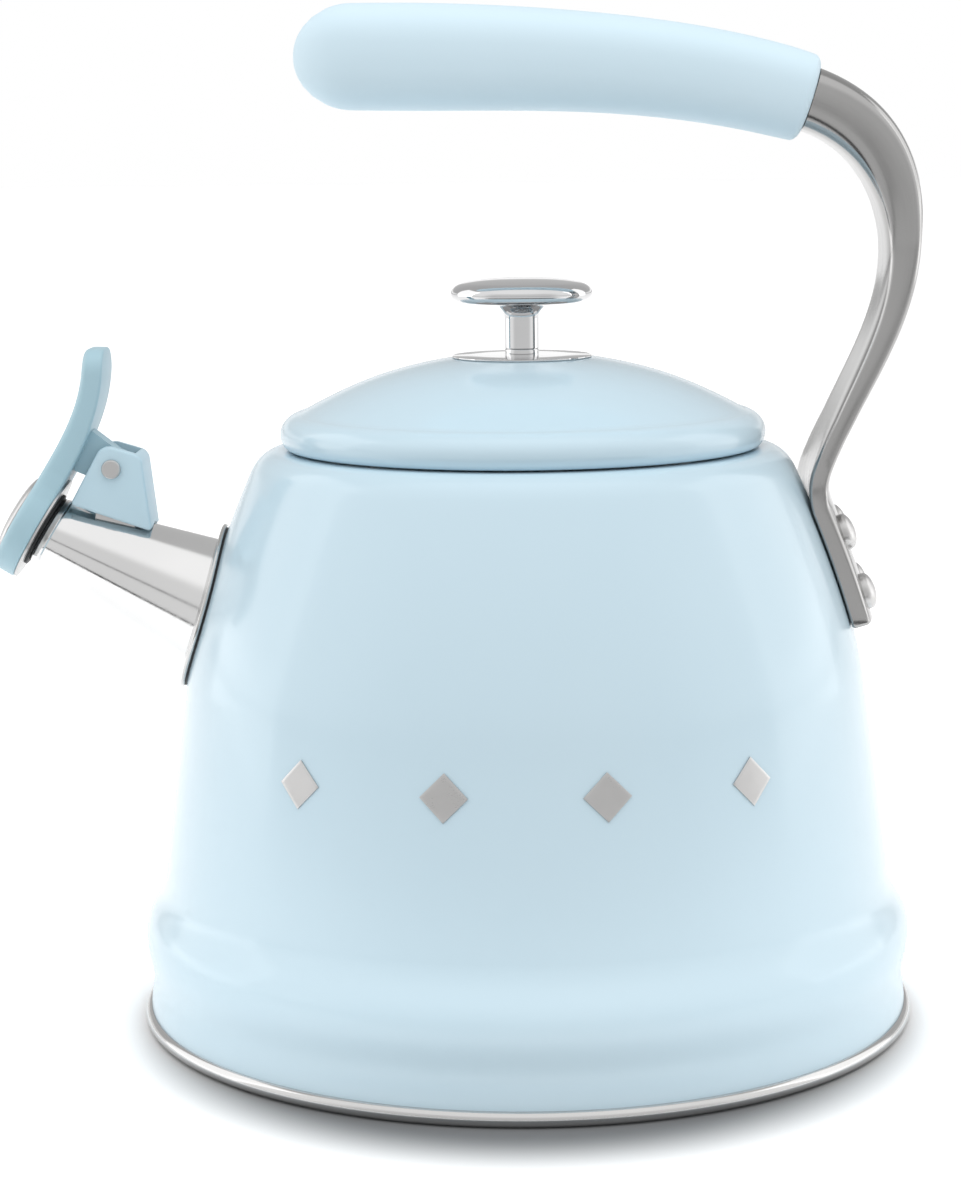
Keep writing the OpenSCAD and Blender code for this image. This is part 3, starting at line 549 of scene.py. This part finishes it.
def spout_cone(grow, root=62, nose=8, segments=128):
    """A cone that follows the outside of the spout, grown by some millimetres, along local Z."""
    bm = bmesh.new()
    bmesh.ops.create_cone(bm, cap_ends=True, segments=segments, radius1=(tip_r + grow + root * slope) * MM,
        radius2=(tip_r + grow - nose * slope) * MM, depth=(root + nose) * MM)
    bmesh.ops.translate(bm, verts=bm.verts, vec=(0, 0, (nose - root) / 2 * MM))
    return place(bm, on_spout)


shell = turned(outline + left_of(outline, wall)[::-1], steps=200)
shell = carve(shell, spout_cone(0.05))
piece("enamel_body", shell, enamel, "kettle", "blue_enamel", "body_shell")

# %% [markdown]
# ## Foot ring and sole
# A rolled steel ring hides the raw foot of the body. It is a round bead with a flat tail that
# reaches under the kettle. The sole under it is a steel disc, turned with fine rings.

# %% Foot ring
ring = ([Vector((90.9, 0.15))] + arc((93.1, 1.9), 1.9, -90, 69, 22)
    + points((93.45, 3.7), (93.45, 3.2), (91.8, 3.2), (91.8, 3.65), (90.9, 3.65)))
piece("foot_ring", turned(ring, 200), steel, "kettle", "polished_steel", "base_ring")

# %% Sole and floor of the kettle
sole = points((0, 0), (90.05, 0), (90.85, 0.5), (90.85, 1), (0, 1))
piece("magnetic_sole", turned(sole, 160), ringed_steel, "kettle", "satin_steel", "base_sole")
rim = arc((89.9, 7), 1.5, -75, 0, 5)
pan = (points((0, 5.5), (89.9, 5.5)) + rim
    + points((91.4, 7.9), (90.4, 7.9), (90.4, 7), (89.9, 6.5), (0, 6.5)))
piece("inside_floor", turned(pan, 160), ringed_steel, "kettle", "satin_steel", "vessel_floor")

# %% [markdown]
# ## The lid
# The lid is a pressed dome with a soft crease near its rim, below which it rolls down and curls
# under. It carries a skirt with a clear seal that grips the mouth. All three are turned.

# %% Lid, skirt and seal
rim_z, rose_z = 140.0, 161.2
dome = (points((2.2, rose_z)) + run([(17, rose_z), (32.6, 158.8), (41.9, 154.9), (53.7, 148.5)], 26)
    + run([(53.7, 148.5), (58.2, 147.6), (59.6, 144), (58.2, 141.3)], 20)
    + run([(58.2, 141.3), (57.9, 140.6), (57.3, rim_z), (56.5, rim_z)], 8)
    + points((56.5, rim_z), (55.5, rim_z)))
piece("enamel_lid", turned(dome + left_of(dome, -1)[::-1], 180), enamel, "lid", "blue_enamel", "lid_shell")
skirt = points((48.0, 128.6), (48.8, 128.6), (48.8, 141.05), (56.5, 141.05), (56.5, 141.85),
    (48.0, 141.85))
piece("lid_collar", soften(turned(skirt, 160), 0.25, 2), ringed_steel, "lid", "satin_steel", "lid_skirt")
seal = points((48.8, 132.6), (49.7, 133.8), (49.7, 134.8), (48.8, 136.6))
piece("mouth_seal", soften(turned(seal, 160), 0.2, 2), milky, "lid", "clear_silicone", "lid_seal")

# %% [markdown]
# ## The knob
# A mushroom of plated metal on a slim stem, on a thin polished disc. The underside runs into the
# stem in one sweep, which is what makes its dark and bright bands so clear.

# %% Knob
top_z, knob_z = 180.35, 163.35
under = top_z - 5.9
knob = (points((2.05, knob_z), (3.9, knob_z), (4.1, knob_z + 0.2))
    + run([(4.1, under - 4), (4.1, under - 1.6), (6.5, under - 0.3), (9.5, under - 0.1)], 16)
    + run([(9.5, under - 0.1), (11.1, under), (12.55, under), (14.05, under)], 6)
    + run([(14.05, under), (17.85, under), (18.2, top_z - 2.2), (14.45, top_z - 1.2)], 28)
    + run([(14.45, top_z - 1.2), (10.05, top_z - 0.2), (5, top_z), (0, top_z)], 18)
    + points((0, top_z), (0, knob_z + 9), (2.05, knob_z + 8)))
piece("knob", turned(knob, 128), chrome, "lid", "chrome_plate", "lid_knob")
rose = points((2.2, rose_z), (16.55, rose_z), (16.85, 161.3), (16.95, 161.5), (16.9, 161.7),
    (16.6, 161.82), (11, 161.9), (7.1, 161.95), (2.2, 161.95))
piece("knob_plate", turned(rose, 128), chrome, "lid", "chrome_plate", "knob_rose")
collar = points((2.2, 161.95), (4.1, 161.95), (4.1, 163.1), (4.05, 163.22), (3.95, 163.3), (2.2, 163.3))
piece("knob_neck", turned(collar, 96), chrome, "lid", "chrome_plate", "knob_collar")

# %% [markdown]
# ## The spout
# A straight tapering tube. Its mouth is cut slantwise, so it can't be spun: a cone is cut by a
# plane at the mouth and by another inside the body, a band next to the mouth is stood out as a
# lip, and the sheet is then given its thickness.

# %% Spout tube
tube = spout_cone(0, segments=144)
out_of_mouth = on_mouth.to_3x3() @ Vector((0, 0, 1))
bmesh.ops.delete(tube, geom=[f for f in tube.faces if len(f.verts) > 4], context="FACES_ONLY")
for back in (0, 0.35, 2.0, 2.35):
    bmesh.ops.bisect_plane(tube, geom=tube.verts[:] + tube.edges[:] + tube.faces[:], dist=1e-8,
        plane_co=mouth - out_of_mouth * back * MM, plane_no=out_of_mouth, clear_outer=back == 0)
bmesh.ops.bisect_plane(tube, geom=tube.verts[:] + tube.edges[:] + tube.faces[:], dist=1e-8,
    plane_co=(-0.0765, 0, 0.1), plane_no=(1, 0, -0.35), clear_outer=True)
to_spout = on_spout.inverted()
for v in tube.verts:
    depth = (mouth - v.co).dot(out_of_mouth) / MM
    if depth < 2.2:
        local = to_spout @ v.co
        stand = 0.45 if 0.1 < depth else 0.2
        grow = 1 + stand * MM / local.xy.length
        v.co = on_spout @ Vector((local.x * grow, local.y * grow, local.z))
bmesh.ops.recalc_face_normals(tube, faces=tube.faces)
if sum(f.normal.dot(f.calc_center_median() - on_spout @ Vector((0, 0, (to_spout @ f.calc_center_median()).z)))
       for f in tube.faces) < 0:
    bmesh.ops.reverse_faces(tube, faces=tube.faces)
bmesh.ops.solidify(tube, geom=tube.faces, thickness=spout_wall * MM)
piece("spout", tube, lit_spout_steel, "kettle", "polished_steel", "spout_tube")

# %% [markdown]
# ## What lies on the wall
# The spout's flange and the four plain marks follow the curved wall. They are made flat and then
# laid on: a point is given by its angle round the kettle, its height and how far it stands off.

# %% Laying things on the wall
def wall_at(z):
    """Radius of the wall at a height, and the tilt of its outward normal above level."""
    curve = upper_wall if z > waist_z else lower_wall
    low, high = 0.0, 1.0
    for _ in range(40):
        mid = (low + high) / 2
        low, high = (mid, high) if bezier(curve, mid)[1] < z else (low, mid)
    step = bezier(curve, min(1, low + 0.01)) - bezier(curve, max(0, low - 0.01))
    return bezier(curve, low)[0], math.atan2(-step[0], step[1])


def on_wall(angle, z, off):
    """The place at an angle in radians round Z and a height in mm, off mm out from the wall."""
    r, tilt = wall_at(z)
    reach = r + off * math.cos(tilt)
    return Vector((reach * math.cos(angle), reach * math.sin(angle), z + off * math.sin(tilt))) * MM


# %% Flange round the spout's root
flange_r, flange_z = 19.8, 100.8


def flange_place(turn, r, off):
    """A place on the wall, r mm from the flange's middle in the direction turn."""
    y, z = r * math.sin(turn), flange_z + r * math.cos(turn)
    return on_wall(math.pi - math.asin(y / wall_at(z)[0]), z, off)


def hole_r(turn):
    """Where the cone of the spout comes through the wall."""
    low, high = 4.0, flange_r
    for _ in range(30):
        mid = (low + high) / 2
        local = to_spout @ flange_place(turn, mid, 1)
        inside = local.xy.length < (tip_r + 0.1) * MM - local.z * slope
        low, high = (mid, high) if inside else (low, mid)
    return low


flange = bmesh.new()
line = [flange.verts.new((0, 0, 1 + i / 6)) for i in range(7)]
edges = [flange.edges.new(pair) for pair in zip(line, line[1:])]
bmesh.ops.spin(flange, geom=line + edges, axis=(1, 0, 0), cent=(0, 0, 0), angle=2 * math.pi, steps=96,
    use_merge=True)
holes = {}
for v in flange.verts:
    turn = math.atan2(v.co.y, v.co.z)
    key = round(turn, 5)
    holes.setdefault(key, hole_r(turn))
    share = v.co.length - 1
    v.co = flange_place(turn, holes[key] + share * (flange_r - holes[key]), 1.6)
bmesh.ops.recalc_face_normals(flange, faces=flange.faces)
if sum(f.normal.x for f in flange.faces) > 0:
    bmesh.ops.reverse_faces(flange, faces=flange.faces)
bmesh.ops.solidify(flange, geom=flange.faces, thickness=1.0 * MM)
piece("spout_flange_ring", soften(flange, 0.35, 3, 60), steel, "kettle", "polished_steel", "spout_flange")

# %% Four plain marks
mark_reach, mark_step, mark_z = 5.5, 24.5, 71.2
marks = []
for i in range(4):
    mark = bmesh.new()
    bmesh.ops.create_grid(mark, x_segments=10, y_segments=10, size=mark_reach / math.sqrt(2))
    bmesh.ops.rotate(mark, verts=mark.verts, cent=(0, 0, 0), matrix=Matrix.Rotation(math.pi / 4, 3, "Z"))
    middle = math.radians(-90 + (i - 1.5) * mark_step)
    for v in mark.verts:
        z = mark_z + v.co.y
        v.co = on_wall(middle + v.co.x / wall_at(z)[0], z, 0.35)
    bmesh.ops.recalc_face_normals(mark, faces=mark.faces)
    if sum(f.normal.y for f in mark.faces) > 0:
        bmesh.ops.reverse_faces(mark, faces=mark.faces)
    bmesh.ops.solidify(mark, geom=mark.faces, thickness=0.3 * MM)
    marks.append(soften(mark, 0.08, 2, 60))
piece("steel_marks", join(*marks), satin, "kettle", "satin_steel", "front_marks")

# %% [markdown]
# ## The handle
# A bar runs from the grip over the kettle and down to four rivets on the wall, getting wider and
# flatter on its way. It is drawn by sweeping: a ring of points is extruded step by step, and each
# new ring is stood across the path with its own width, height and squareness. Where the bar meets
# the wall, the rings also wrap round it.

# %% Sweep helper
def section(w, h, squareness, n=64):
    """A ring on a rounded rectangle; a squareness of 2 is an ellipse."""
    def bent(v):
        return math.copysign(abs(v) ** (2 / squareness), v)
    ring = []
    for j in range(n):
        a = 2 * math.pi * j / n
        ring.append((w / 2 * bent(math.cos(a)), h / 2 * bent(math.sin(a))))
    flat = []
    for j, p in enumerate(ring):
        q = ring[(j + 1) % n]
        flat.append(p)
        if j % (n // 2) in (n // 4 - 1, n // 4):
            flat += [(p[0] + (q[0] - p[0]) * s, p[1] + (q[1] - p[1]) * s) for s in (0.25, 0.5, 0.75)]
    return flat


def stand(middle, along, ring, wrap_r=1000.0, wrap=0.0):
    """A ring stood across a path in the middle plane, wrapped by a share round a wall."""
    return [Vector((middle[0] - along[1] * q - wrap * (wrap_r - math.sqrt(wrap_r ** 2 - p * p)), p,
        middle[1] + along[0] * q)) * MM for p, q in ring]


def sweep(rings):
    """A closed skin through rings, with a UV map called run: along the path, and round it."""
    bm = bmesh.new()
    uv = bm.loops.layers.uv.new("run")
    verts = [bm.verts.new(p) for p in rings[0]]
    edges = [bm.edges.new(pair) for pair in zip(verts, verts[1:] + verts[:1])]
    bm.faces.new(verts)
    for ring in rings[1:]:
        fresh = set(fresh_verts(bmesh.ops.extrude_edge_only(bm, edges=edges)))
        next_verts = [next(e.other_vert(v) for e in v.link_edges if e.other_vert(v) in fresh)
            for v in verts]
        for v, p in zip(next_verts, ring):
            v.co = p
        verts = next_verts
        edges = [bm.edges.get(pair) for pair in zip(verts, verts[1:] + verts[:1])]
    bm.faces.new(verts[::-1])
    far = [0.0]
    for a, b in zip(rings, rings[1:]):
        far.append(far[-1] + (sum(b, Vector()) / len(b) - sum(a, Vector()) / len(a)).length)
    bm.verts.index_update()
    n = len(rings[0])
    for f in bm.faces:
        if len(f.verts) == 4:
            for loop in f.loops:
                i, j = divmod(loop.vert.index, n)
                loop[uv].uv = (far[i], j / n * 0.06)
    bmesh.ops.recalc_face_normals(bm, faces=bm.faces)
    return bm


# %% The bar's path
grip_path = [(-53.9, 233.2), (-10, 232.4), (32, 233.4), (68.7, 221.9)]


def along_grip(t):
    """Place and direction at a share t of the grip's curve."""
    return bezier(grip_path, t), (bezier(grip_path, t + 0.01) - bezier(grip_path, t - 0.01)).normalized()


plate_z, plate_length, plate_t, plate_gap = 123.6, 27.2, 5, 0.12


def plate_point(z):
    """Middle of the bar's thickness where it lies along the wall."""
    r, tilt = wall_at(z)
    return Vector((r, z)) + (plate_gap + plate_t / 2) * Vector((math.cos(tilt), math.sin(tilt)))


hip, ankle = Vector((90.8, 188)), Vector((72.3, 136))
grip_end, end_way = along_grip(1)
bar_root = grip_end + 0.1 * end_way
plate_head = plate_point(plate_z)
plate_way = (plate_point(plate_z - 1) - plate_head).normalized()
bar_line = (run([bar_root, bar_root + Vector((16.2, -5.9)), hip + Vector((0, 14.7)), hip], 42)
    + run([hip, hip - Vector((0, 20.4)), ankle + Vector((5.7, 17)), ankle], 42)
    + run([ankle, ankle - Vector((1.5, 4.6)), plate_head - 4.2 * plate_way, plate_head], 18)
    + [plate_point(plate_z - plate_length * i / 24) for i in range(25)])
widths = [(0, 22), (0.3, 24), (0.6, 31), (0.74, 34), (0.97, 34), (1, 33.4)]
heights = [(0, 15.2), (0.1, 14.2), (0.2, 12.3), (0.27, 10.3), (0.33, 8.6), (0.42, 7), (0.52, 5.8),
    (0.62, plate_t), (1, plate_t)]
print("the bar's path has", len(bar_line), "points")

# %% Bar, and its tang inside the grip
def bar_ring(i, less=0.0, on=0.0):
    """The ring at point i of the path, made less mm smaller all round and moved on along it."""
    share = i / (len(bar_line) - 1)
    way = end_way if i == 0 else heading(bar_line, i)
    ring = section(smooth_table(widths, share) - 2 * less, smooth_table(heights, share) - 2 * less,
        smooth_table([(0, 3.6), (0.5, 6), (1, 9)], share))
    wrap = smooth_table([(0.6, 0), (0.8, 1)], share) if share > 0.6 else 0
    return stand(bar_line[i] + on * way, way, ring, wall_at(min(bar_line[i][1], plate_z))[0], wrap)


last, edge_r = len(bar_line) - 1, 0.9
bar_rings = [bar_ring(i) for i in range(last)]
for a in range(0, 91, 15):
    a = math.radians(a)
    bar_rings.append(bar_ring(last, edge_r * (1 - math.cos(a)), edge_r * (math.sin(a) - 1)))
bar = sweep(bar_rings)
tang = sweep([stand(*along_grip(0.22 + 0.06 * i), section(12, 7, 5)) for i in range(14)])
piece("handle_strap", join(bar, tang), shaded_bar_steel, "kettle", "polished_steel", "handle_bar", crease=50)

# %% Rivets
head_r, head_rise, rivet_off = 4.4, 2.05, 9
head = (points((0, 3), (head_r, 3), (head_r, 5.3))
    + [Vector((head_r * math.cos(math.radians(a)), 5.6 + head_rise * math.sin(math.radians(a))))
    for a in range(0, 91, 6)])
tail = points((0, -3.75), (3, -3.55), (3.6, -3.05), (3.6, -2.55), (2.2, -2.55), (2.2, 3.5), (0, 3.5))
rivets = []
for z in (117.4, 103.2):
    for side in (-1, 1):
        r, tilt = wall_at(z)
        spot = (Matrix.Rotation(side * math.asin(rivet_off / r), 4, "Z")
            @ Matrix.Translation(Vector((r, 0, z)) * MM) @ Matrix.Rotation(math.pi / 2 - tilt, 4, "Y"))
        rivets.append(place(join(turned(head, 48), turned(tail, 48)), spot))
piece("rivet_heads", join(*rivets), satin, "kettle", "satin_steel", "handle_rivets")

# %% [markdown]
# ## The grip
# A thick silicone sleeve on a stiff core, round at its nose and cut square at its end. A fine
# mould line runs along both sides at mid height, as a ridge in the mesh.

# %% Grip sleeve
nose_length = 13.9
grip_heights = [(0, 24.8), (0.25, 25.2), (0.6, 23.2), (0.93, 21.6), (0.985, 21), (1, 20.6)]
grip_widths = [(0, 25), (0.25, 27), (0.6, 27), (0.93, 26.4), (0.985, 25.8), (1, 25.4)]


def grip_ring(t, shrink=0.0):
    """The ring at a share t of the grip, rounded off at the nose and with its mould line."""
    middle, way = along_grip(t)
    reach = min(1, (middle - Vector(grip_path[0])).length / nose_length)
    nose = math.sqrt(max(0, 1 - (1 - reach) ** 2))
    h, w = smooth_table(grip_heights, t), smooth_table(grip_widths, t)
    ring = section(max(0.05, w * nose - 2 * shrink), max(0.05, h * nose - 2 * shrink), 2.5, 72)
    ridge = 0.09 * min(1, max(0, (nose - 0.3) / 0.4))
    line = []
    for p, q in ring:
        lift = ridge * max(0.0, 1 - abs(q) / 0.28)
        line.append((p + math.copysign(lift, p) if lift else p, q))
    return stand(middle, way, line)


stops = [0.0004 * 1.9 ** k for k in range(8)] + [0.06 + 0.924 * i / 100 for i in range(101)]
grip_rings = [grip_ring(t) for t in stops]
for a in range(10, 91, 10):
    a = math.radians(a)
    grip_rings.append(grip_ring(0.984 + 0.016 * math.sin(a), 2.2 * (1 - math.cos(a))))
sleeve = sweep(grip_rings)
piece("grip_sleeve", sleeve, silicone, "kettle", "blue_silicone", "handle_grip", crease=60)

# %% [markdown]
# ## The whistle flap
# A moulded disc that covers the spout, carried on by a thumb lever that curves up over its hinge.
# It is cut flat like a piece of sheet, given its thickness and rounded edges, sliced across so
# that it can bend, and then bent along the curve seen from the side.

# %% Flap, cut flat
disc_r, flap_t, disc_back = 13.8, 6.0, 1.35
pin = Vector((-99.3, 135.7))
up = Vector((math.sin(math.radians(mouth_tilt)), math.cos(math.radians(mouth_tilt))))
mouth_2d = Vector((mouth_x, mouth_z))
lever_root = mouth_2d + disc_r / 2 * up + (disc_back + flap_t / 2) * Vector((-up[1], up[0]))
lever = [lever_root, lever_root + 13.4 * up, pin + Vector((-4.1, 13.3)), pin + Vector((-3.8, 26.0))]
bends = 60
spine = [bezier(lever, i / bends) for i in range(bends + 1)]
lengths = [0.0]
for a, b in zip(spine, spine[1:]):
    lengths.append(lengths[-1] + (b - a).length)
lever_end = disc_r / 2 + lengths[-1] + 2.8
side = [(disc_r * math.sin(math.radians(a)), disc_r * math.cos(math.radians(a))) for a in range(-90, 31, 5)]
side += [(disc_r / 2 + x, y) for x, y in ((1, 11.3), (4, 10.15), (8, 9.4), (14, 9.1))]
side += [(lever_end - 12, 9.0), (lever_end - 6, 9.0)]
side += [(lever_end - 6 + 6 * math.sin(math.radians(a)), 3.2 + 5.8 * math.cos(math.radians(a)))
    for a in range(10, 91, 10)]
flat = bmesh.new()
corners = [flat.verts.new((x * MM, y * MM, -flap_t / 2 * MM)) for x, y in side]
corners += [flat.verts.new((x * MM, -y * MM, -flap_t / 2 * MM)) for x, y in side[::-1] if y > 0.01]
base = flat.faces.new(corners)
top = fresh_verts(bmesh.ops.extrude_face_region(flat, geom=[base]))
bmesh.ops.translate(flat, verts=top, vec=(0, 0, flap_t * MM))
bmesh.ops.recalc_face_normals(flat, faces=flat.faces)
soften(flat, 1.9, 6, 60, lambda e: max(v.co.z for v in e.verts) > 0)
soften(flat, 0.7, 4, 60)
print("the flap is", round(lever_end + disc_r, 1), "mm long before it is bent")


# %% Bend the flap and add its knuckle
thin_from, thinner = 0.2, 1


def bend(v):
    """From (along, across, out) on the flat flap to its place over the spout. The lever gets
    thinner towards its tip."""
    s, off, t = v.x / MM, v.z / MM, 0.0
    if s <= disc_r / 2:
        middle, way = mouth_2d + s * up + (disc_back + flap_t / 2) * Vector((-up[1], up[0])), up
    else:
        s -= disc_r / 2
        i = max(0, min(bends - 1, next((k for k, d in enumerate(lengths) if d > s), bends) - 1))
        share = (s - lengths[i]) / (lengths[i + 1] - lengths[i])
        t = min(1, (i + share) / bends)
        middle = spine[i] + (spine[i + 1] - spine[i]) * share
        way = heading(spine, bends)
        if share < 1:
            way = (heading(spine, i) * (1 - share) + heading(spine, i + 1) * share).normalized()
    off *= 1 - max(0, (t - thin_from) / (1 - thin_from)) * thinner / flap_t
    return Vector((middle[0] - off * way[1], v.y / MM, middle[1] + off * way[0])) * MM


for i in range(40):
    bmesh.ops.bisect_plane(flat, geom=flat.verts[:] + flat.edges[:] + flat.faces[:], dist=1e-7,
        plane_co=((-2 + (lever_end - 1) * i / 39) * MM, 0, 0), plane_no=(1, 0, 0))
for v in flat.verts:
    v.co = bend(v.co)


def slab(outline_xz, y0, y1, centre=(0, 0)):
    """A side view outline in millimetres, given its width across the kettle."""
    bm = bmesh.new()
    face = bm.faces.new([bm.verts.new(((x + centre[0]) * MM, y0 * MM, (z + centre[1]) * MM))
        for x, z in outline_xz])
    far_side = fresh_verts(bmesh.ops.extrude_face_region(bm, geom=[face]))
    bmesh.ops.translate(bm, verts=far_side, vec=(0, (y1 - y0) * MM, 0))
    bmesh.ops.recalc_face_normals(bm, faces=bm.faces)
    return bm


def cylinder(r, z0, z1, matrix, segments=96):
    bm = bmesh.new()
    bmesh.ops.create_cone(bm, cap_ends=True, segments=segments, radius1=r * MM, radius2=r * MM,
        depth=(z1 - z0) * MM)
    bmesh.ops.translate(bm, verts=bm.verts, vec=(0, 0, (z0 + z1) / 2 * MM))
    return place(bm, matrix)


knuckle_y, knuckle_r, socket_r = (-4.18, 1.82), 4.3, 8.6
web = slab([(-9.6, -0.6), (-2.2, -3.7), (1.4, 4.07), (-4.9, 9.0), (-8, 4)], *knuckle_y, centre=pin)
eye = slab([(knuckle_r * math.cos(math.radians(a)), knuckle_r * math.sin(math.radians(a)))
    for a in range(0, 360, 6)], *knuckle_y, centre=pin)
flat = carve(flat, carve(web, eye, "UNION"), "UNION")
flat = carve(flat, cylinder(socket_r, -10, 20, on_mouth))
piece("thumb_flap", flat, plastic, "flap", "blue_plastic", "whistle_flap", crease=40)

# %% Cap of the whistle
face = disc_back + flap_t
cap_r, cap_rise, vent_r = 10.5, 1.9, 2
cap = ([Vector((vent_r + (cap_r - vent_r) * i / 20, face + 0.05 + cap_rise * math.sqrt(1.02 - (i / 20) ** 2)))
    for i in range(21)]
    + points((cap_r, face + 0.05), (8.4, face + 0.05), (8.4, face - 2.5), (7.9, face - 2.5),
    (7.9, face + 0.3), (vent_r, face + 1.3)))
piece("whistle_lid", place(turned(cap, 96), on_mouth), satin, "flap", "satin_steel", "whistle_cap")

# %% [markdown]
# ## The hinge bracket
# Two cheeks and a back wall in one moulding, which stands over a steel saddle on the spout. Its
# side outline is cut with round corners, the edges are softened, and then the inside and the
# saddle-shaped underside are carved away.

# %% Bracket
def rounded(corners, steps=8):
    """An outline whose corners (x, y, r) are rounded."""
    points = []
    for i, (x, y, r) in enumerate(corners):
        p, a, b = (Vector(c[:2]) for c in ((x, y), corners[i - 1], corners[(i + 1) % len(corners)]))
        u, v = (a - p).normalized(), (b - p).normalized()
        half_angle = math.acos(u.dot(v)) / 2
        centre = p + (u + v).normalized() * r / math.sin(half_angle)
        start = p + u * r / math.tan(half_angle) - centre
        end = p + v * r / math.tan(half_angle) - centre
        a0 = math.atan2(start[1], start[0])
        turn = (math.atan2(end[1], end[0]) - a0 + 3 * math.pi) % (2 * math.pi) - math.pi
        points += [centre + r * Vector((math.cos(a0 + turn * k / steps), math.sin(a0 + turn * k / steps)))
            for k in range(steps + 1)]
    return points


cheek_t = 2.2
low_y, high_y = (corner.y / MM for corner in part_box("hinge_bracket"))
side_view = rounded([(-10.3, -8.6, 0.8), (-2.2, 6.0, 3.2), (7.3, 3.1, 3.0), (9.4, -15.4, 0.8)])
outer = soften(slab(side_view, low_y, high_y, centre=pin), 0.7, 4, 60)
cheek = high_y - cheek_t
hollow = slab([(-20, -30), (7.2, -30), (5.7, 0), (5.7, 20), (-20, 20)], -cheek, cheek, centre=pin)
bracket = carve(outer, hollow)
bracket = carve(bracket, spout_cone(0.5))
piece("hinge_cheeks", bracket, pale_plastic, "kettle", "blue_plastic", "hinge_bracket", crease=40)

# %% Hinge pin
pin_low, pin_high = (corner.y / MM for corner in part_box("hinge_pin"))
pin_r, pin_head_r, rounding = 1.3, 2.35, 0.5
outside = cheek + cheek_t + 0.05
rod = (points((0, -pin_high), (1.4, -pin_high), (1.9, -pin_high + 0.4), (1.9, -outside),
    (pin_r, -outside), (pin_r, outside), (pin_head_r, outside))
    + arc((pin_head_r - rounding, -pin_low - rounding), rounding, 0, 90, 6) + points((0, -pin_low)))
at_pin = Matrix.Translation(Vector((pin[0], 0, pin[1])) * MM) @ Matrix.Rotation(math.pi / 2, 4, "X")
piece("hinge_rod", place(turned(rod, 64), at_pin), satin, "kettle", "satin_steel", "hinge_pin")

# %% [markdown]
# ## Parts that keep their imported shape
# Springs, washers, the screw, the rubber parts and the aluminium disc in the base are right as
# they are. They only get their finishes, by the name of the part.

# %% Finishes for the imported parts
kept = {
    aluminium: ["base_core"],
    black_rubber: ["spout_seal", "flap_gasket"],
    nylon: ["grip_core"],
    satin: ["bracket_saddle", "flap_spring", "whistle_plate", "whistle_cup", "lid_screw", "lid_washer",
        "rivet_washers", "core_pins"],
}
for made_of, names in kept.items():
    for name in names:
        node = frame["nodes"][name]
        for holder in node.material_slots:
            holder.material = made_of
        if not node.material_slots:
            node.data.materials.append(made_of)
dressed = {name for names in kept.values() for name in names}
bare = [n for n, o in frame["nodes"].items() if not o.hide_render and n not in dressed]
print("packed parts still in their plain finish:", bare)
